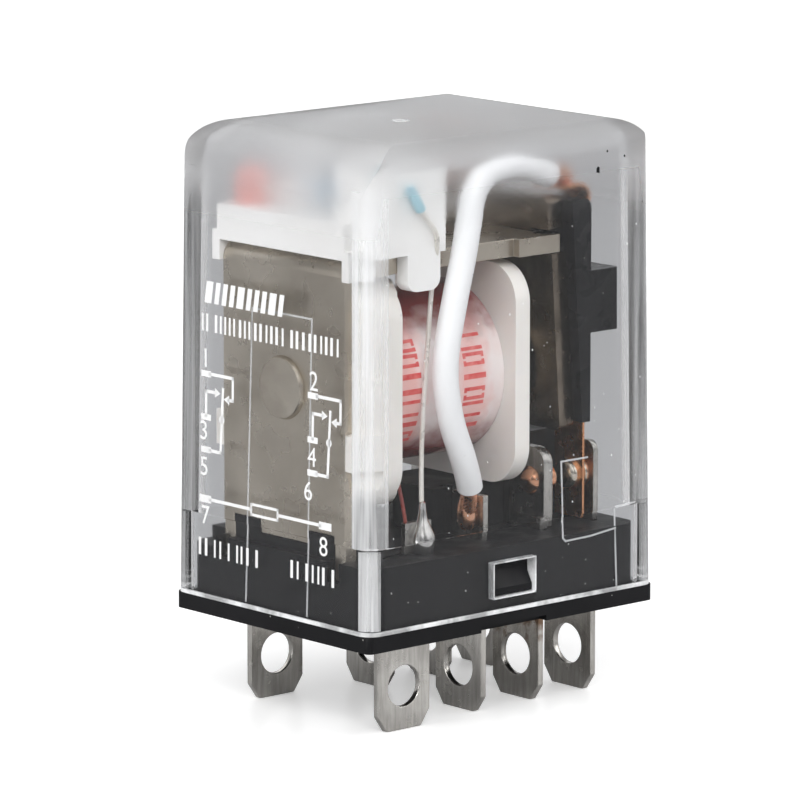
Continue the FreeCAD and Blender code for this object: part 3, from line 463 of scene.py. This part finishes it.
def piece(name, points, faces, look, slot, body=STILL, paint=None, sharp=40.0):
    """A smooth mesh piece that rides on a body. paint gives a face's second look by its index."""
    data = bpy.data.meshes.new(name)
    data.from_pydata([tuple(c * MM for c in p) for p in points], [], faces)
    data.validate()
    for one in look if isinstance(look, tuple) else (look,):
        data.materials.append(LOOKS[one].material)
    if paint is not None:
        for face in data.polygons:
            face.material_index = paint(face.center / MM)
    data.shade_smooth()
    data.set_sharp_from_angle(angle=math.radians(sharp))
    made = bpy.data.objects.new(name, data)
    scene.collection.objects.link(made)
    if body is not None:
        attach(made, body)
    return made


def join_meshes(parts):
    """One list of points and one of faces from several."""
    points, faces = [], []
    for some_points, some_faces in parts:
        start = len(points)
        points += some_points
        faces += [tuple(start + i for i in face) for face in some_faces]
    return points, faces


def rounded_line(corners, rounds=4):
    """A smooth line inside the corners, tangent to every run between them."""
    line = [Vector(c) for c in corners]
    for _ in range(rounds):
        finer = [line[0]]
        for start, end in zip(line, line[1:]):
            finer.append(start.lerp(end, 0.25))
            finer.append(start.lerp(end, 0.75))
        finer.append(line[-1])
        line = finer
    kept = [line[0]]
    for point in line[1:]:
        if (point - kept[-1]).length > 1e-4:
            kept.append(point)
    return kept


def frames(line):
    """A place, a heading and two steady cross directions at each point of a line."""
    found = []
    across = None
    for index, point in enumerate(line):
        before = line[max(index - 1, 0)]
        after = line[min(index + 1, len(line) - 1)]
        heading = (after - before).normalized()
        if across is None:
            guess = Vector((0, 0, 1)) if abs(heading.z) < 0.9 else Vector((1, 0, 0))
            across = guess.cross(heading).normalized()
        across = (across - heading * across.dot(heading)).normalized()
        found.append((point, heading, across, heading.cross(across)))
    return found


def skin(rings):
    """Faces between rings of equally many points, and one over each end."""
    count = len(rings[0])
    points = [p for ring in rings for p in ring]
    faces = []
    for row in range(len(rings) - 1):
        for step in range(count):
            a = row * count + step
            b = row * count + (step + 1) % count
            faces.append((a, b, b + count, a + count))
    faces.append(tuple(reversed(range(count))))
    last = (len(rings) - 1) * count
    faces.append(tuple(last + i for i in range(count)))
    return points, faces


def ring_at(spot, radius, sides, ahead=0.0):
    """A ring of points across a line, a little ahead of one of its spots."""
    point, heading, across, up = spot
    centre = point + heading * ahead
    turn = 2 * math.pi / sides
    return [
        centre + across * (radius * math.cos(i * turn)) + up * (radius * math.sin(i * turn))
        for i in range(sides)
    ]


def rod(line, radius, sides=12):
    """A round rod with slightly rounded ends."""
    spots = frames(line)
    edge = radius * 0.3
    rings = [ring_at(spots[0], radius - edge, sides)]
    rings.append(ring_at(spots[0], radius, sides, edge))
    rings += [ring_at(spot, radius, sides) for spot in spots[1:-1]]
    rings.append(ring_at(spots[-1], radius, sides, -edge))
    rings.append(ring_at(spots[-1], radius - edge, sides))
    return skin(rings)


def hollow_tube(line, radius, bore, sides=32, deep=0.8):
    """A tube whose bore goes a little way in at each end and is closed there."""
    spots = frames(line)
    edge = 0.12
    rings = []
    for spot, inward in ((spots[0], 1), (spots[-1], -1)):
        mouth = [
            ring_at(spot, bore, sides, inward * deep),
            ring_at(spot, bore, sides, inward * edge),
            ring_at(spot, bore + edge, sides),
            ring_at(spot, radius - edge, sides),
            ring_at(spot, radius, sides, inward * edge),
        ]
        if inward > 0:
            rings += mouth
            rings += [ring_at(middle, radius, sides) for middle in spots[2:-2]]
        else:
            rings += reversed(mouth)
    return skin(rings)


def turned(profile, centre, axis, sides=64):
    """A turned shape: (along, radius) pairs about an axis through centre."""
    heading = Vector(axis).normalized()
    spot = frames([Vector(centre), Vector(centre) + heading])[0]
    return skin([ring_at(spot, max(radius, 1e-3), sides, along) for along, radius in profile])


def plate(outline, place, thickness):
    """A flat plate: its outline's (across, up) pairs go through place(across, up, out)."""
    count = len(outline)
    points = [Vector(place(across, up, out)) for out in (0.0, thickness) for across, up in outline]
    faces = [tuple(reversed(range(count))), tuple(range(count, 2 * count))]
    for i in range(count):
        j = (i + 1) % count
        faces.append((i, j, count + j, count + i))
    return points, faces


def box_outline(left, right, low, high):
    """Corners of an upright rectangle."""
    return [(left, low), (right, low), (right, high), (left, high)]


def stroke(points, width):
    """Outlines of the straight runs of a drawn line, each a thin rectangle."""
    runs = []
    for (a, b), (c, d) in zip(points, points[1:]):
        length = math.hypot(c - a, d - b)
        x, y = (c - a) / length * width / 2, (d - b) / length * width / 2
        runs.append([
            (a - x + y, b - y - x), (c + x + y, d + y - x),
            (c + x - y, d + y + x), (a - x - y, b - y + x),
        ])
    return runs


def round_outline(centre, radius, sides):
    """Corners of a many-sided dot."""
    turn = 2 * math.pi / sides
    return [
        (centre[0] + radius * math.cos(i * turn), centre[1] + radius * math.sin(i * turn))
        for i in range(sides)
    ]


def soften(name, width, segments=2, angle=35.0):
    """Take the sharpness off a CAD node's edges, as pressing and moulding do."""
    weld = nodes[name].modifiers.new("weld", "WELD")
    weld.merge_threshold = 1e-6
    bevel = nodes[name].modifiers.new("edges", "BEVEL")
    bevel.width = width * MM
    bevel.segments = segments
    bevel.limit_method = "ANGLE"
    bevel.angle_limit = math.radians(angle)
    bevel.harden_normals = True
    bevel.use_clamp_overlap = True


def dress(name, look):
    """Give a CAD node one of the looks."""
    node = nodes[name]
    for material_slot in node.material_slots:
        material_slot.link = "OBJECT"
        material_slot.material = LOOKS[look].material


# Places on the cover's walls ------------------------------------------------------------------

def cover_lean(up):
    """How far the cover's walls have leant in at a height."""
    return COVER_DRAFT * (up - COVER_FOOT)


def narrow_face(across, up, out):
    """A place on the cover's narrow face: across runs to the right for someone facing it."""
    face = -COVER_HALF_LENGTH + cover_lean(up)
    return face - 0.005 - out, -across, up


def wide_face(across, up, out):
    """A place on the inside of the cover's wide face nearest the camera."""
    face = -9.79 + cover_lean(up)
    if up < SKIRT_TOP:
        face = -10.0
    return across, face + out, up


def narrow_inside(across, up, out):
    """A place on the inside of the cover's narrow face with the label."""
    face = -13.24
    if up > SKIRT_TOP:
        face = -13.05 + COVER_DRAFT * (up - SKIRT_TOP)
    return face + out, -across, up


# Label on the narrow side -------------------------------------------------------------------

def contact_symbol(shift):
    """One changeover contact: closed pin at the top, open pin in the middle, common below."""
    pads = [box_outline(0.0, 1.1, low, low + 0.45) for low in (17.65, 14.45, 12.05)]
    arrows = [
        [(1.55, 16.95), (1.55, 16.25), (2.15, 16.6)],
        [(2.55, 16.25), (3.15, 15.9), (3.15, 16.6)],
    ]
    lines = [
        [(1.0, 17.9), (3.55, 17.9), (3.55, 16.25), (3.1, 16.25)],
        [(0.55, 14.8), (0.55, 16.6), (1.6, 16.6)],
        [(2.45, 16.95), (2.2, 12.25), (1.0, 12.25)],
    ]
    shapes = pads + arrows
    for line in lines:
        shapes += stroke(line, PRINT_WIDTH)
    shapes.append(round_outline((2.32, 14.7), 0.3, 16))
    return [[(across + shift, up) for across, up in shape] for shape in shapes]


def strokes_like_print(left, right, low, high, widths, gaps, slant, rng):
    """A row of strokes in place of a word."""
    shapes = []
    across = left
    while across < right:
        end = across + rng.choice(widths)
        shapes.append([(across, low), (end, low), (end + slant, high), (across + slant, high)])
        across = end + rng.choice(gaps)
    return shapes


def coil_symbol(middle):
    """Two pads, two lines and a rectangle."""
    pads = ((-7.9, -6.6), (5.4, 6.75))
    shapes = [box_outline(start, end, middle - 0.28, middle + 0.28) for start, end in pads]
    left, right, low, high = -2.1, 0.85, middle - 0.38, middle + 0.38
    for start, end in ((-6.7, left), (right, 5.5)):
        shapes += stroke([(start, middle), (end, middle)], PRINT_WIDTH)
    shapes += stroke([*box_outline(left, right, low, high), (left, low)], 0.2)
    return shapes


def make_digit(digit, across, up):
    """One pin number, standing on the label's face."""
    curve = bpy.data.curves.new(f"digit_{digit}", "FONT")
    curve.body = digit
    curve.size = 2.0 * MM
    curve.align_x = "CENTER"
    curve.extrude = 0.005 * MM
    mark = bpy.data.objects.new(f"digit_{digit}", curve)
    scene.collection.objects.link(mark)
    mark.data.materials.append(LOOKS["white_ink"].material)
    x, y, z = narrow_face(across, up, 0.006)
    mark.matrix_world = Matrix((
        (0, 0, -1, x * MM), (-1, 0, 0, y * MM), (0, 1, 0, z * MM), (0, 0, 0, 1),
    ))
    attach(mark, STILL)


def make_label():
    """The pin diagram with its numerals, and rows of strokes in place of words."""
    rng = random.Random(5)
    shapes = strokes_like_print(-7.4, 0.9, 23.1, 24.7, (0.5, 0.75), (0.32,), 0.25, rng)
    for left, right, low, high in ((-7.7, 7.5, 21.0, 22.3), (-8.0, -1.3, 4.4, 5.7), (2.3, 7.0, 4.3, 5.6)):
        shapes += strokes_like_print(left, right, low, high, (0.2, 0.28), (0.3, 0.42, 0.75), 0.0, rng)
    for shift in (-7.75, 4.1):
        shapes += contact_symbol(shift)
    shapes += coil_symbol(8.62)
    piece(
        "label_print", *join_meshes([plate(shape, narrow_face, 0.01) for shape in shapes]),
        "white_ink", "white_holder", sharp=20.0,
    )
    digits = {
        "1": (-7.25, 18.35), "3": (-7.45, 13.0), "5": (-7.4, 10.35), "7": (-7.25, 6.75),
        "2": (4.75, 18.25), "4": (4.6, 12.75), "6": (4.2, 10.25), "8": (5.9, 6.45),
    }
    for digit, (across, up) in digits.items():
        make_digit(digit, across, up)


# Moulding details of the cover ----------------------------------------------------------------

def plan_line(half_length, half_width, corner, per_corner=8):
    """Rounded rectangle about the Z axis, as (x, y) pairs."""
    line = []
    for quarter, (sx, sy) in enumerate(((1, 1), (-1, 1), (-1, -1), (1, -1))):
        for step in range(per_corner + 1):
            angle = (quarter + step / per_corner) * math.pi / 2
            line.append((
                sx * (half_length - corner) + corner * math.cos(angle),
                sy * (half_width - corner) + corner * math.sin(angle),
            ))
    return line


def corner_arc(radius):
    """A quarter turn about the outer rounding's centre, in from both walls."""
    points = []
    for step in range(7):
        turn = math.pi * 1.5 - step * math.pi / 12
        points.append((COVER_CORNER + radius * math.cos(turn), COVER_CORNER + radius * math.sin(turn)))
    return points


def corner_run(outline, low, high, sx, sy):
    """An outline measured in from one corner of the cover, drawn up along its leaning walls."""
    rings = []
    for up in (low, high):
        length = COVER_HALF_LENGTH - cover_lean(up)
        width = COVER_HALF_WIDTH - cover_lean(up)
        rings.append([Vector((sx * (length - a), sy * (width - b), up)) for a, b in outline])
    points, faces = skin(rings)
    if sx * sy < 0:
        faces = [tuple(reversed(face)) for face in faces]
    return points, faces


def make_corners():
    """The four upright corners, filled between the outer and the inner rounding with pale sheets of painted
    light.
    """
    reach, inset, inner = 1.9, 0.1, 2.2
    centre = 1.06 + inner
    section = [(reach, inset), *corner_arc(COVER_CORNER - inset), (inset, reach)]
    deep = inner + inset
    leaving = math.acos((reach - centre) / deep)
    first, last = math.pi / 2 + leaving, 2 * math.pi - leaving
    for step in range(5):
        turn = first + (last - first) * step / 4
        section.append((centre + deep * math.cos(turn), centre + deep * math.sin(turn)))
    skirt = corner_arc(COVER_CORNER - inset) + corner_arc(0.45)[::-1]
    for name, look, corners in (
        ("cover_corner_label", "corner_haze", ((-1, -1), (1, 1))),
        ("cover_corners", "corner_veil", ((-1, 1), (1, -1))),
    ):
        parts = [corner_run(section, 7.45, 33.0, *corner) for corner in corners]
        parts += [corner_run(skirt, 1.6, SKIRT_TOP, *corner) for corner in corners]
        piece(name, *join_meshes(parts), look, "clear_cover")


def make_foot_edge():
    """The cut edge round the cover's foot, painted bright as the light it pipes."""
    profile = [(0.015, 1.24), (0.015, 1.46), (-0.05, 1.52), (-0.3, 1.52), (-0.3, 1.24)]
    loops = [
        [
            Vector((x, y, up))
            for x, y in plan_line(COVER_HALF_LENGTH + out, COVER_HALF_WIDTH + out, COVER_CORNER + out)
        ]
        for out, up in profile
    ]
    points = [p for loop in loops for p in loop]
    count = len(loops[0])
    faces = []
    for row in range(len(loops)):
        here = row * count
        there = (row + 1) % len(loops) * count
        for step in range(count):
            beyond = (step + 1) % count
            faces.append((here + step, here + beyond, there + beyond, there + step))
    piece("cover_foot_edge", points, faces, "bright_edge", "clear_cover")


def make_window_edges():
    """The walls of the snap windows in both wide sides."""
    left, right, low, high, skin_width, depth = -2.1, 2.1, 2.3, 5.0, 0.1, 0.86
    walls = []
    for side in (-1, 1):
        def in_window(across, up, out, side=side):
            return across, side * (9.98 + out), up
        for shape in (
            box_outline(left, right, low, low + skin_width),
            box_outline(left, right, high - skin_width, high),
            box_outline(left, left + skin_width, low, high),
            box_outline(right - skin_width, right, low, high),
        ):
            walls.append(plate(shape, in_window, depth))
    # the windows' walls are painted near white, a glint of light along the plastic's cut edges
    piece("window_edges", *join_meshes(walls), "bright_edge", "clear_cover")


def make_mould_lines():
    """Fine raised lines on the cover's inside, where the mould's inserts met, and its gate mark, painted pale
    as a glint of the light the clear ridges catch.
    """
    width, height = 0.13, 0.05
    lines = {
        "mould_lines_narrow": (narrow_inside, [[(-3.26, 1.6), (-2.75, 23.2), (3.8, 23.2), (3.53, 1.6)]]),
        "mould_lines_wide": (wide_face, [
            [(7.84, 11.4), (5.24, 11.4), (5.24, 5.75), (5.5, 5.5), (8.0, 5.55), (10.5, 5.8)],
            [(10.65, 1.5), (10.65, 7.35), (12.6, 7.43)],
        ]),
    }
    for name, (place, drawn) in lines.items():
        runs = [run for line in drawn for run in stroke(line, width)]
        piece(name, *join_meshes([plate(run, place, height) for run in runs]), "mould_line", "clear_cover")
    ring = [(0.0, 0.35), (0.03, 0.36), (0.04, 0.48), (0.03, 0.62), (0.0, 0.63)]
    piece("gate_mark", *turned(ring, (-1.5, 0.0, COVER_TOP), (0, 0, 1), 32), "mould_line", "clear_cover")


def make_dust():
    """Specks of dust on both wide sides of the cover: a few dark ones by the top, the rest pale."""
    rng = random.Random(3)
    marked = [(8.3, 32.55, 0.17), (9.2, 33.9, 0.08), (10.9, 33.4, 0.09), (12.7, 29.9, 0.05)]
    dark_ones, near_ones, all_ones, sides = len(marked), 56, 80, 7
    while len(marked) < all_ones:
        marked.append((rng.uniform(-12.5, 13.0), rng.uniform(2.5, 31.0), rng.uniform(0.025, 0.06)))
    dark, pale = [], []
    for number, (across, up, radius) in enumerate(marked):
        side = -1 if number < near_ones else 1
        face = COVER_HALF_WIDTH - cover_lean(up) + 0.006
        outline = []
        for step in range(sides):
            angle = 2 * math.pi * step / sides
            reach = radius * rng.uniform(0.6, 1.3)
            outline.append((across + reach * math.cos(angle), up + 1.5 * reach * math.sin(angle)))
        speck = plate(outline, lambda a, b, out, side=side, face=face: (a, side * (face + out), b), 0.02)
        (dark if number < dark_ones else pale).append(speck)
    piece("dust_dark", *join_meshes(dark), "black_base", "clear_cover")
    piece("dust_pale", *join_meshes(pale), "bright_edge", "clear_cover")


# Flexible pieces ------------------------------------------------------------------------------

BRAID_ROUTE = [
    (8.6, 6.0, 31.72), (6.2, 7.6, 32.1), (1.6, 8.4, 33.6), (-2.3, 8.45, 32.8), (-3.0, 8.45, 28.4),
    (-4.2, 8.45, 24.0), (-5.2, 8.45, 19.6), (-4.6, 8.45, 15.6), (-2.9, 8.2, 12.2), (-1.3, 7.2, 9.4),
    (-0.8, 6.2, 7.6),
]


def twisted_strand(spots, share, lay=3.2):
    """One strand laid round a line, splayed out over the first 1.8 mm."""
    gone = 0.0
    path = []
    for index, (point, _, across, up) in enumerate(spots):
        if index:
            gone += (point - spots[index - 1][0]).length
        angle = 2 * math.pi * (share + gone / lay)
        splay = max(0.0, 1.0 - (point - spots[0][0]).length / 1.8)
        reach = 0.36 + 0.3 * splay
        path.append(point + across * (reach * math.cos(angle)) + up * (reach * math.sin(angle)))
    return path


def make_braids():
    """Copper strands round a core, and the white tube that covers all but their ends."""
    strands = 9
    for side, number in ((-1, 6), (1, 5)):
        line = rounded_line([(x, side * y, z) for x, y, z in BRAID_ROUTE], 5)
        spots = frames(line)
        parts = [rod(twisted_strand(spots, strand / strands), 0.14, 8) for strand in range(strands)]
        parts.append(rod(line, 0.27, 10))
        braid = piece(f"braid_wires_{number}", *join_meshes(parts), "copper_braid", "copper_braid", None)
        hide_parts(f"braid_{number}")
        covered = [p for p in line if (p.z > 10.0 or p.x < -1.9) and p.x < 5.9]
        tube = piece(f"sleeve_{number}", *hollow_tube(covered, 0.95, 0.58), "white_tube", "white_tube", None)
        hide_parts(f"braid_tube_{number}")
        for soft in (braid, tube):
            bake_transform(soft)


def make_return_spring():
    """Close coils between two hooks."""
    start, length, turns, radius, wire, height = -2.25, 8.3, 19, 0.83, 0.17, 29.2
    body_start, body_length = start + 1.1, length - 2.3
    body_end = body_start + body_length
    steps = 14
    hook_steps = 6
    line = []
    for step in range(hook_steps):
        angle = -math.pi / 2 + step * math.pi / 10
        along = start + 0.2 + 0.9 * (1 + math.sin(angle))
        line.append(Vector((along, 0, height + radius * math.cos(angle) * 0.9)))
    for step in range(turns * steps + 1):
        angle = 2 * math.pi * step / steps
        along = body_start + body_length * step / (turns * steps)
        line.append(Vector((along, radius * math.sin(angle), height + radius * math.cos(angle))))
    for step in range(hook_steps):
        angle = step * math.pi / 10
        along = body_end + 0.15 + 0.85 * math.sin(angle)
        line.append(Vector((along, 0, height + radius * math.cos(angle) * 0.9)))
    spring = piece("tension_spring", *rod(line, wire, 8), "spring_steel", "spring_steel", None)
    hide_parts("return_spring")
    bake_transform(spring)


def make_lamp_leads():
    """Thin wires from the lamp's holder down to the coil blades, one of them out of a blue sleeve."""
    routes = {
        8: [
            (-7.9, -8.6, 31.6), (-7.1, -8.6, 30.5), (-6.0, -8.55, 29.4), (-5.55, -8.2, 28.2),
            (-5.1, -7.1, 25.6), (-5.4, -6.95, 20.7), (-5.95, -6.95, 14.6), (-6.3, -7.3, 9.9),
            (-6.35, -7.5, 8.0),
        ],
        7: [
            (-10.4, 6.93, 31.4), (-10.0, 7.8, 31.0), (-8.6, 8.6, 28.0), (-6.9, 8.6, 20.0),
            (-6.0, 8.2, 13.0), (-6.2, 7.6, 9.9), (-6.35, 7.5, 8.0),
        ],
    }
    for number, route in routes.items():
        lead = piece(f"thin_lead_{number}", *rod(rounded_line(route), 0.18), "tinned_wire", "tinned_wire")
        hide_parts(f"lamp_lead_{number}")
    shrunk = rounded_line([(-8.55, -8.6, 32.75), (-8.0, -8.62, 31.8), (-7.5, -8.58, 31.05)])
    sleeve = piece("thin_sleeve", *hollow_tube(shrunk, 0.38, 0.24, 24, 0.3), "blue_sleeve", "blue_sleeve")
    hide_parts("lead_sleeve")


# Contacts, solder and the small coil parts ----------------------------------------------------

def turned_piece(name, node, profile, centre, axis, look, slot, sides=64, **more):
    """A turned piece that stands for a CAD node."""
    made = piece(name, *turned(profile, centre, axis, sides), look, slot, **more)
    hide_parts(node)


def make_contacts():
    """Domed rivets: silver faces where they meet, copper tails behind."""
    for side, (opening, closing, moving) in ((-1, (4, 2, 6)), (1, (3, 1, 5))):
        middle = (0, side * 5.7, 9.4)
        # the moving contact is double-headed: silver to the open post, copper behind
        face, back, tail = 9.0, 9.7, 10.25
        profile = [
            (face, 0.0), (face + 0.02, 0.35), (face + 0.08, 0.7), (face + 0.2, 0.98), (face + 0.38, 1.12),
            (face + 0.55, 1.15), (back, 1.15), (back, 0.6), (back + 0.2, 0.6), (back + 0.2, 1.08),
            (tail - 0.14, 1.1), (tail - 0.05, 0.95), (tail, 0.6), (tail + 0.01, 0.0),
        ]
        turned_piece(
            f"moving_rivet_{moving}", f"moving_contact_{moving}", profile, middle, (1, 0, 0),
            ("silver_contact", "copper_rivet"), "silver_contact", body=MOVING,
            paint=lambda centre: 0 if centre.x < 9.72 else 1,
        )
        # the open post's rivet: a copper tail on the coil's side and a silver face
        back, front, head = 5.75, 6.65, 7.75
        profile = [
            (back - 0.62, 0.0), (back - 0.59, 0.32), (back - 0.49, 0.6), (back - 0.33, 0.82),
            (back - 0.15, 0.97), (back, 1.05),
            (back, 0.6), (front, 0.6), (front, 1.15), (head - 0.35, 1.15), (head - 0.15, 1.02),
            (head - 0.04, 0.7), (head, 0.0),
        ]
        turned_piece(
            f"open_rivet_{opening}", f"open_contact_{opening}", profile, middle, (1, 0, 0),
            ("copper_rivet", "silver_contact"), "copper_rivet",
            paint=lambda centre: 0 if centre.x < 7.3 else 1,
        )
        # the closed post's rivet: a silver face on the coil's side and a copper tail
        back, front = 10.7, 11.2
        profile = [
            (back - 0.43, 0.0), (back - 0.41, 0.6), (back - 0.3, 1.0), (back - 0.15, 1.13), (back, 1.15),
            (back, 0.6), (front, 0.6), (front, 0.9), (front + 0.2, 0.85), (front + 0.32, 0.55),
            (front + 0.35, 0.0),
        ]
        turned_piece(
            f"closed_rivet_{closing}", f"closed_contact_{closing}", profile, middle, (1, 0, 0),
            ("silver_contact", "copper_rivet"), "copper_rivet",
            paint=lambda centre: 0 if centre.x < 10.5 else 1,
        )


def make_solder():
    """Solder drawn up the thin leads, and the lump each braid's lower end is fused into."""
    drop = [
        (-1.75, 0.0), (-1.7, 0.35), (-1.5, 0.6), (-1.1, 0.82), (-0.6, 0.95), (-0.1, 0.98), (0.4, 0.86),
        (0.85, 0.62), (1.3, 0.4), (1.9, 0.28), (2.6, 0.24), (2.75, 0.0),
    ]
    for side, number in ((-1, 8), (1, 7)):
        turned_piece(
            f"solder_drop_{number}", f"coil_solder_{number}", drop, (-6.35, side * 7.5, 7.0), (0, 0, 1),
            "solder", "solder", sides=32,
        )
    lump = [
        (-1.15, 0.0), (-1.1, 0.3), (-0.9, 0.55), (-0.55, 0.7), (-0.1, 0.76), (0.4, 0.74), (0.85, 0.66),
        (1.25, 0.56), (1.5, 0.5), (1.55, 0.0),
    ]
    for side, number in ((-1, 6), (1, 5)):
        turned_piece(
            f"braid_end_{number}", f"braid_solder_{number}", lump, (-0.86, side * 6.2, 7.75), (0, 0, 1),
            "tinned_copper", "solder", sides=32,
        )


def make_resistor():
    """A small axial resistor: swollen ends, pale body and one blue end."""
    low, high = -1.2, 2.0
    profile = [
        (low, 0.0), (low, 0.25), (low + 0.06, 0.6), (low + 0.25, 0.8), (low + 0.55, 0.84), (low + 0.85, 0.76),
        (low + 1.05, 0.66), (high - 1.05, 0.66), (high - 0.85, 0.76), (high - 0.55, 0.84), (high - 0.25, 0.8),
        (high - 0.06, 0.6), (high, 0.25), (high, 0.0),
    ]
    turned_piece(
        "resistor_body", "lamp_resistor", profile, (-8.6, 0.0, 31.6), (0, 1, 0),
        ("blue_resistor", "white_holder"), "blue_resistor", sides=48,
        paint=lambda centre: 0 if centre.y < 0.2 or 0.9 < centre.y < 1.05 else 1,
    )


def make_winding():
    """Layers of wire: the outermost turns are ridges round the coil."""
    start, end, pitch, radius, inside = -8.32, 2.57, 0.26, 6.19, 3.85
    profile = [(start, inside), (start, radius - 0.1)]
    for turn in range(int((end - start) / pitch)):
        for share, lift in ((0.0, 0.09), (0.22, 0.02), (0.5, 0.0), (0.78, 0.02)):
            profile.append((start + (turn + share) * pitch, radius - lift))
    profile += [(end, radius - 0.1), (end, inside)]
    turned_piece(
        "winding_turns", "coil_winding", profile, (0, 0, COIL_HEIGHT), (1, 0, 0),
        "enamelled_wire", "enamelled_wire", sides=96, sharp=50,
    )


def make_tape_print():
    """Plain red marks in two columns up the coil's tape on the near side."""
    radius, line_width, bar_width, gap = 6.405, 0.27, 0.4, 0.42
    rng = random.Random(11)
    parts = []

    def on_tape(across, up, out):
        angle = up / radius
        away = radius + out
        return across, -away * math.cos(angle), COIL_HEIGHT + away * math.sin(angle)

    for left, width in ((-1.15, 1.75), (-7.4, 1.75)):
        up = -4.2
        while up < 3.6:
            height = rng.choice((0.7, 1.0))
            kind = rng.choice(("ring", "bars", "bar"))
            right, top = left + width, up + height
            if kind == "ring":
                runs = stroke([*box_outline(left, right, up, top), (left, up)], line_width)
            elif kind == "bars":
                runs = stroke([(left, up), (right, up)], line_width)
                runs += stroke([(left, top), (right, top)], line_width)
            else:
                middle = up + height / 2
                runs = stroke([(left, middle), (right, middle)], bar_width)
            parts += [plate(run, on_tape, 0.01) for run in runs]
            up += height + gap
    piece("tape_print", *join_meshes(parts), "red_ink", "coil_tape")


# CAD nodes whose shape is right -------------------------------------------------------------------

def dress_nodes():
    """Looks and softened edges for the CAD nodes that stay."""
    looks = {
        "cover": "clear_cover", "base": "black_base", "contact_block": "black_block", "yoke": "yoke_steel",
        "armature": "armature_steel", "core": "core_iron", "shading_ring": "ring_copper",
        "bobbin": "white_bobbin", "coil_tape": "coil_tape", "lamp_holder": "white_holder",
        "indicator_lamp": "red_lamp", "lamp_link": "tinned_wire",
    }
    for number in (7, 8):
        looks[f"coil_lead_{number}"] = "enamelled_wire"
    for number in (5, 6):
        looks[f"contact_spring_{number}"] = "copper_spring"
    blades = [name for name in nodes if "terminal" in name]
    for name in blades:
        looks[name] = "tinned_blade"
        soften(name, 0.07)
    looks["open_terminal_4"] = "stained_blade"
    for name, look in looks.items():
        dress(name, look)
    for name, width in (
        ("base", 0.10), ("contact_block", 0.16), ("yoke", 0.10), ("armature", 0.28), ("lamp_holder", 0.45),
        ("bobbin", 0.2), ("core", 0.2), ("contact_spring_5", 0.03), ("contact_spring_6", 0.03),
    ):
        soften(name, width, 3)


# Everything ------------------------------------------------------------------------------------------

scene.view_settings.view_transform = "Standard"
scene.cycles.max_bounces = 16
scene.cycles.transmission_bounces = 16
scene.cycles.transparent_max_bounces = 24
make_camera()
make_world()
make_floor()
area_light("key", (-0.55, -0.35, 0.55), 0.4, 0.4, 2.8)
area_light("fill", (0.6, -0.5, 0.35), 0.4, 0.4, 0.9)
area_light("front", (-0.30, -0.62, 0.42), 0.22, 0.22, 1.5)
area_light("side", (-0.75, 0.05, 0.18), 0.3, 0.5, 2.2)
dress_nodes()
make_label()
make_corners()
make_foot_edge()
make_window_edges()
make_mould_lines()
make_braids()
make_return_spring()
make_lamp_leads()
make_contacts()
make_solder()
make_resistor()
make_winding()
make_tape_print()
make_dust()
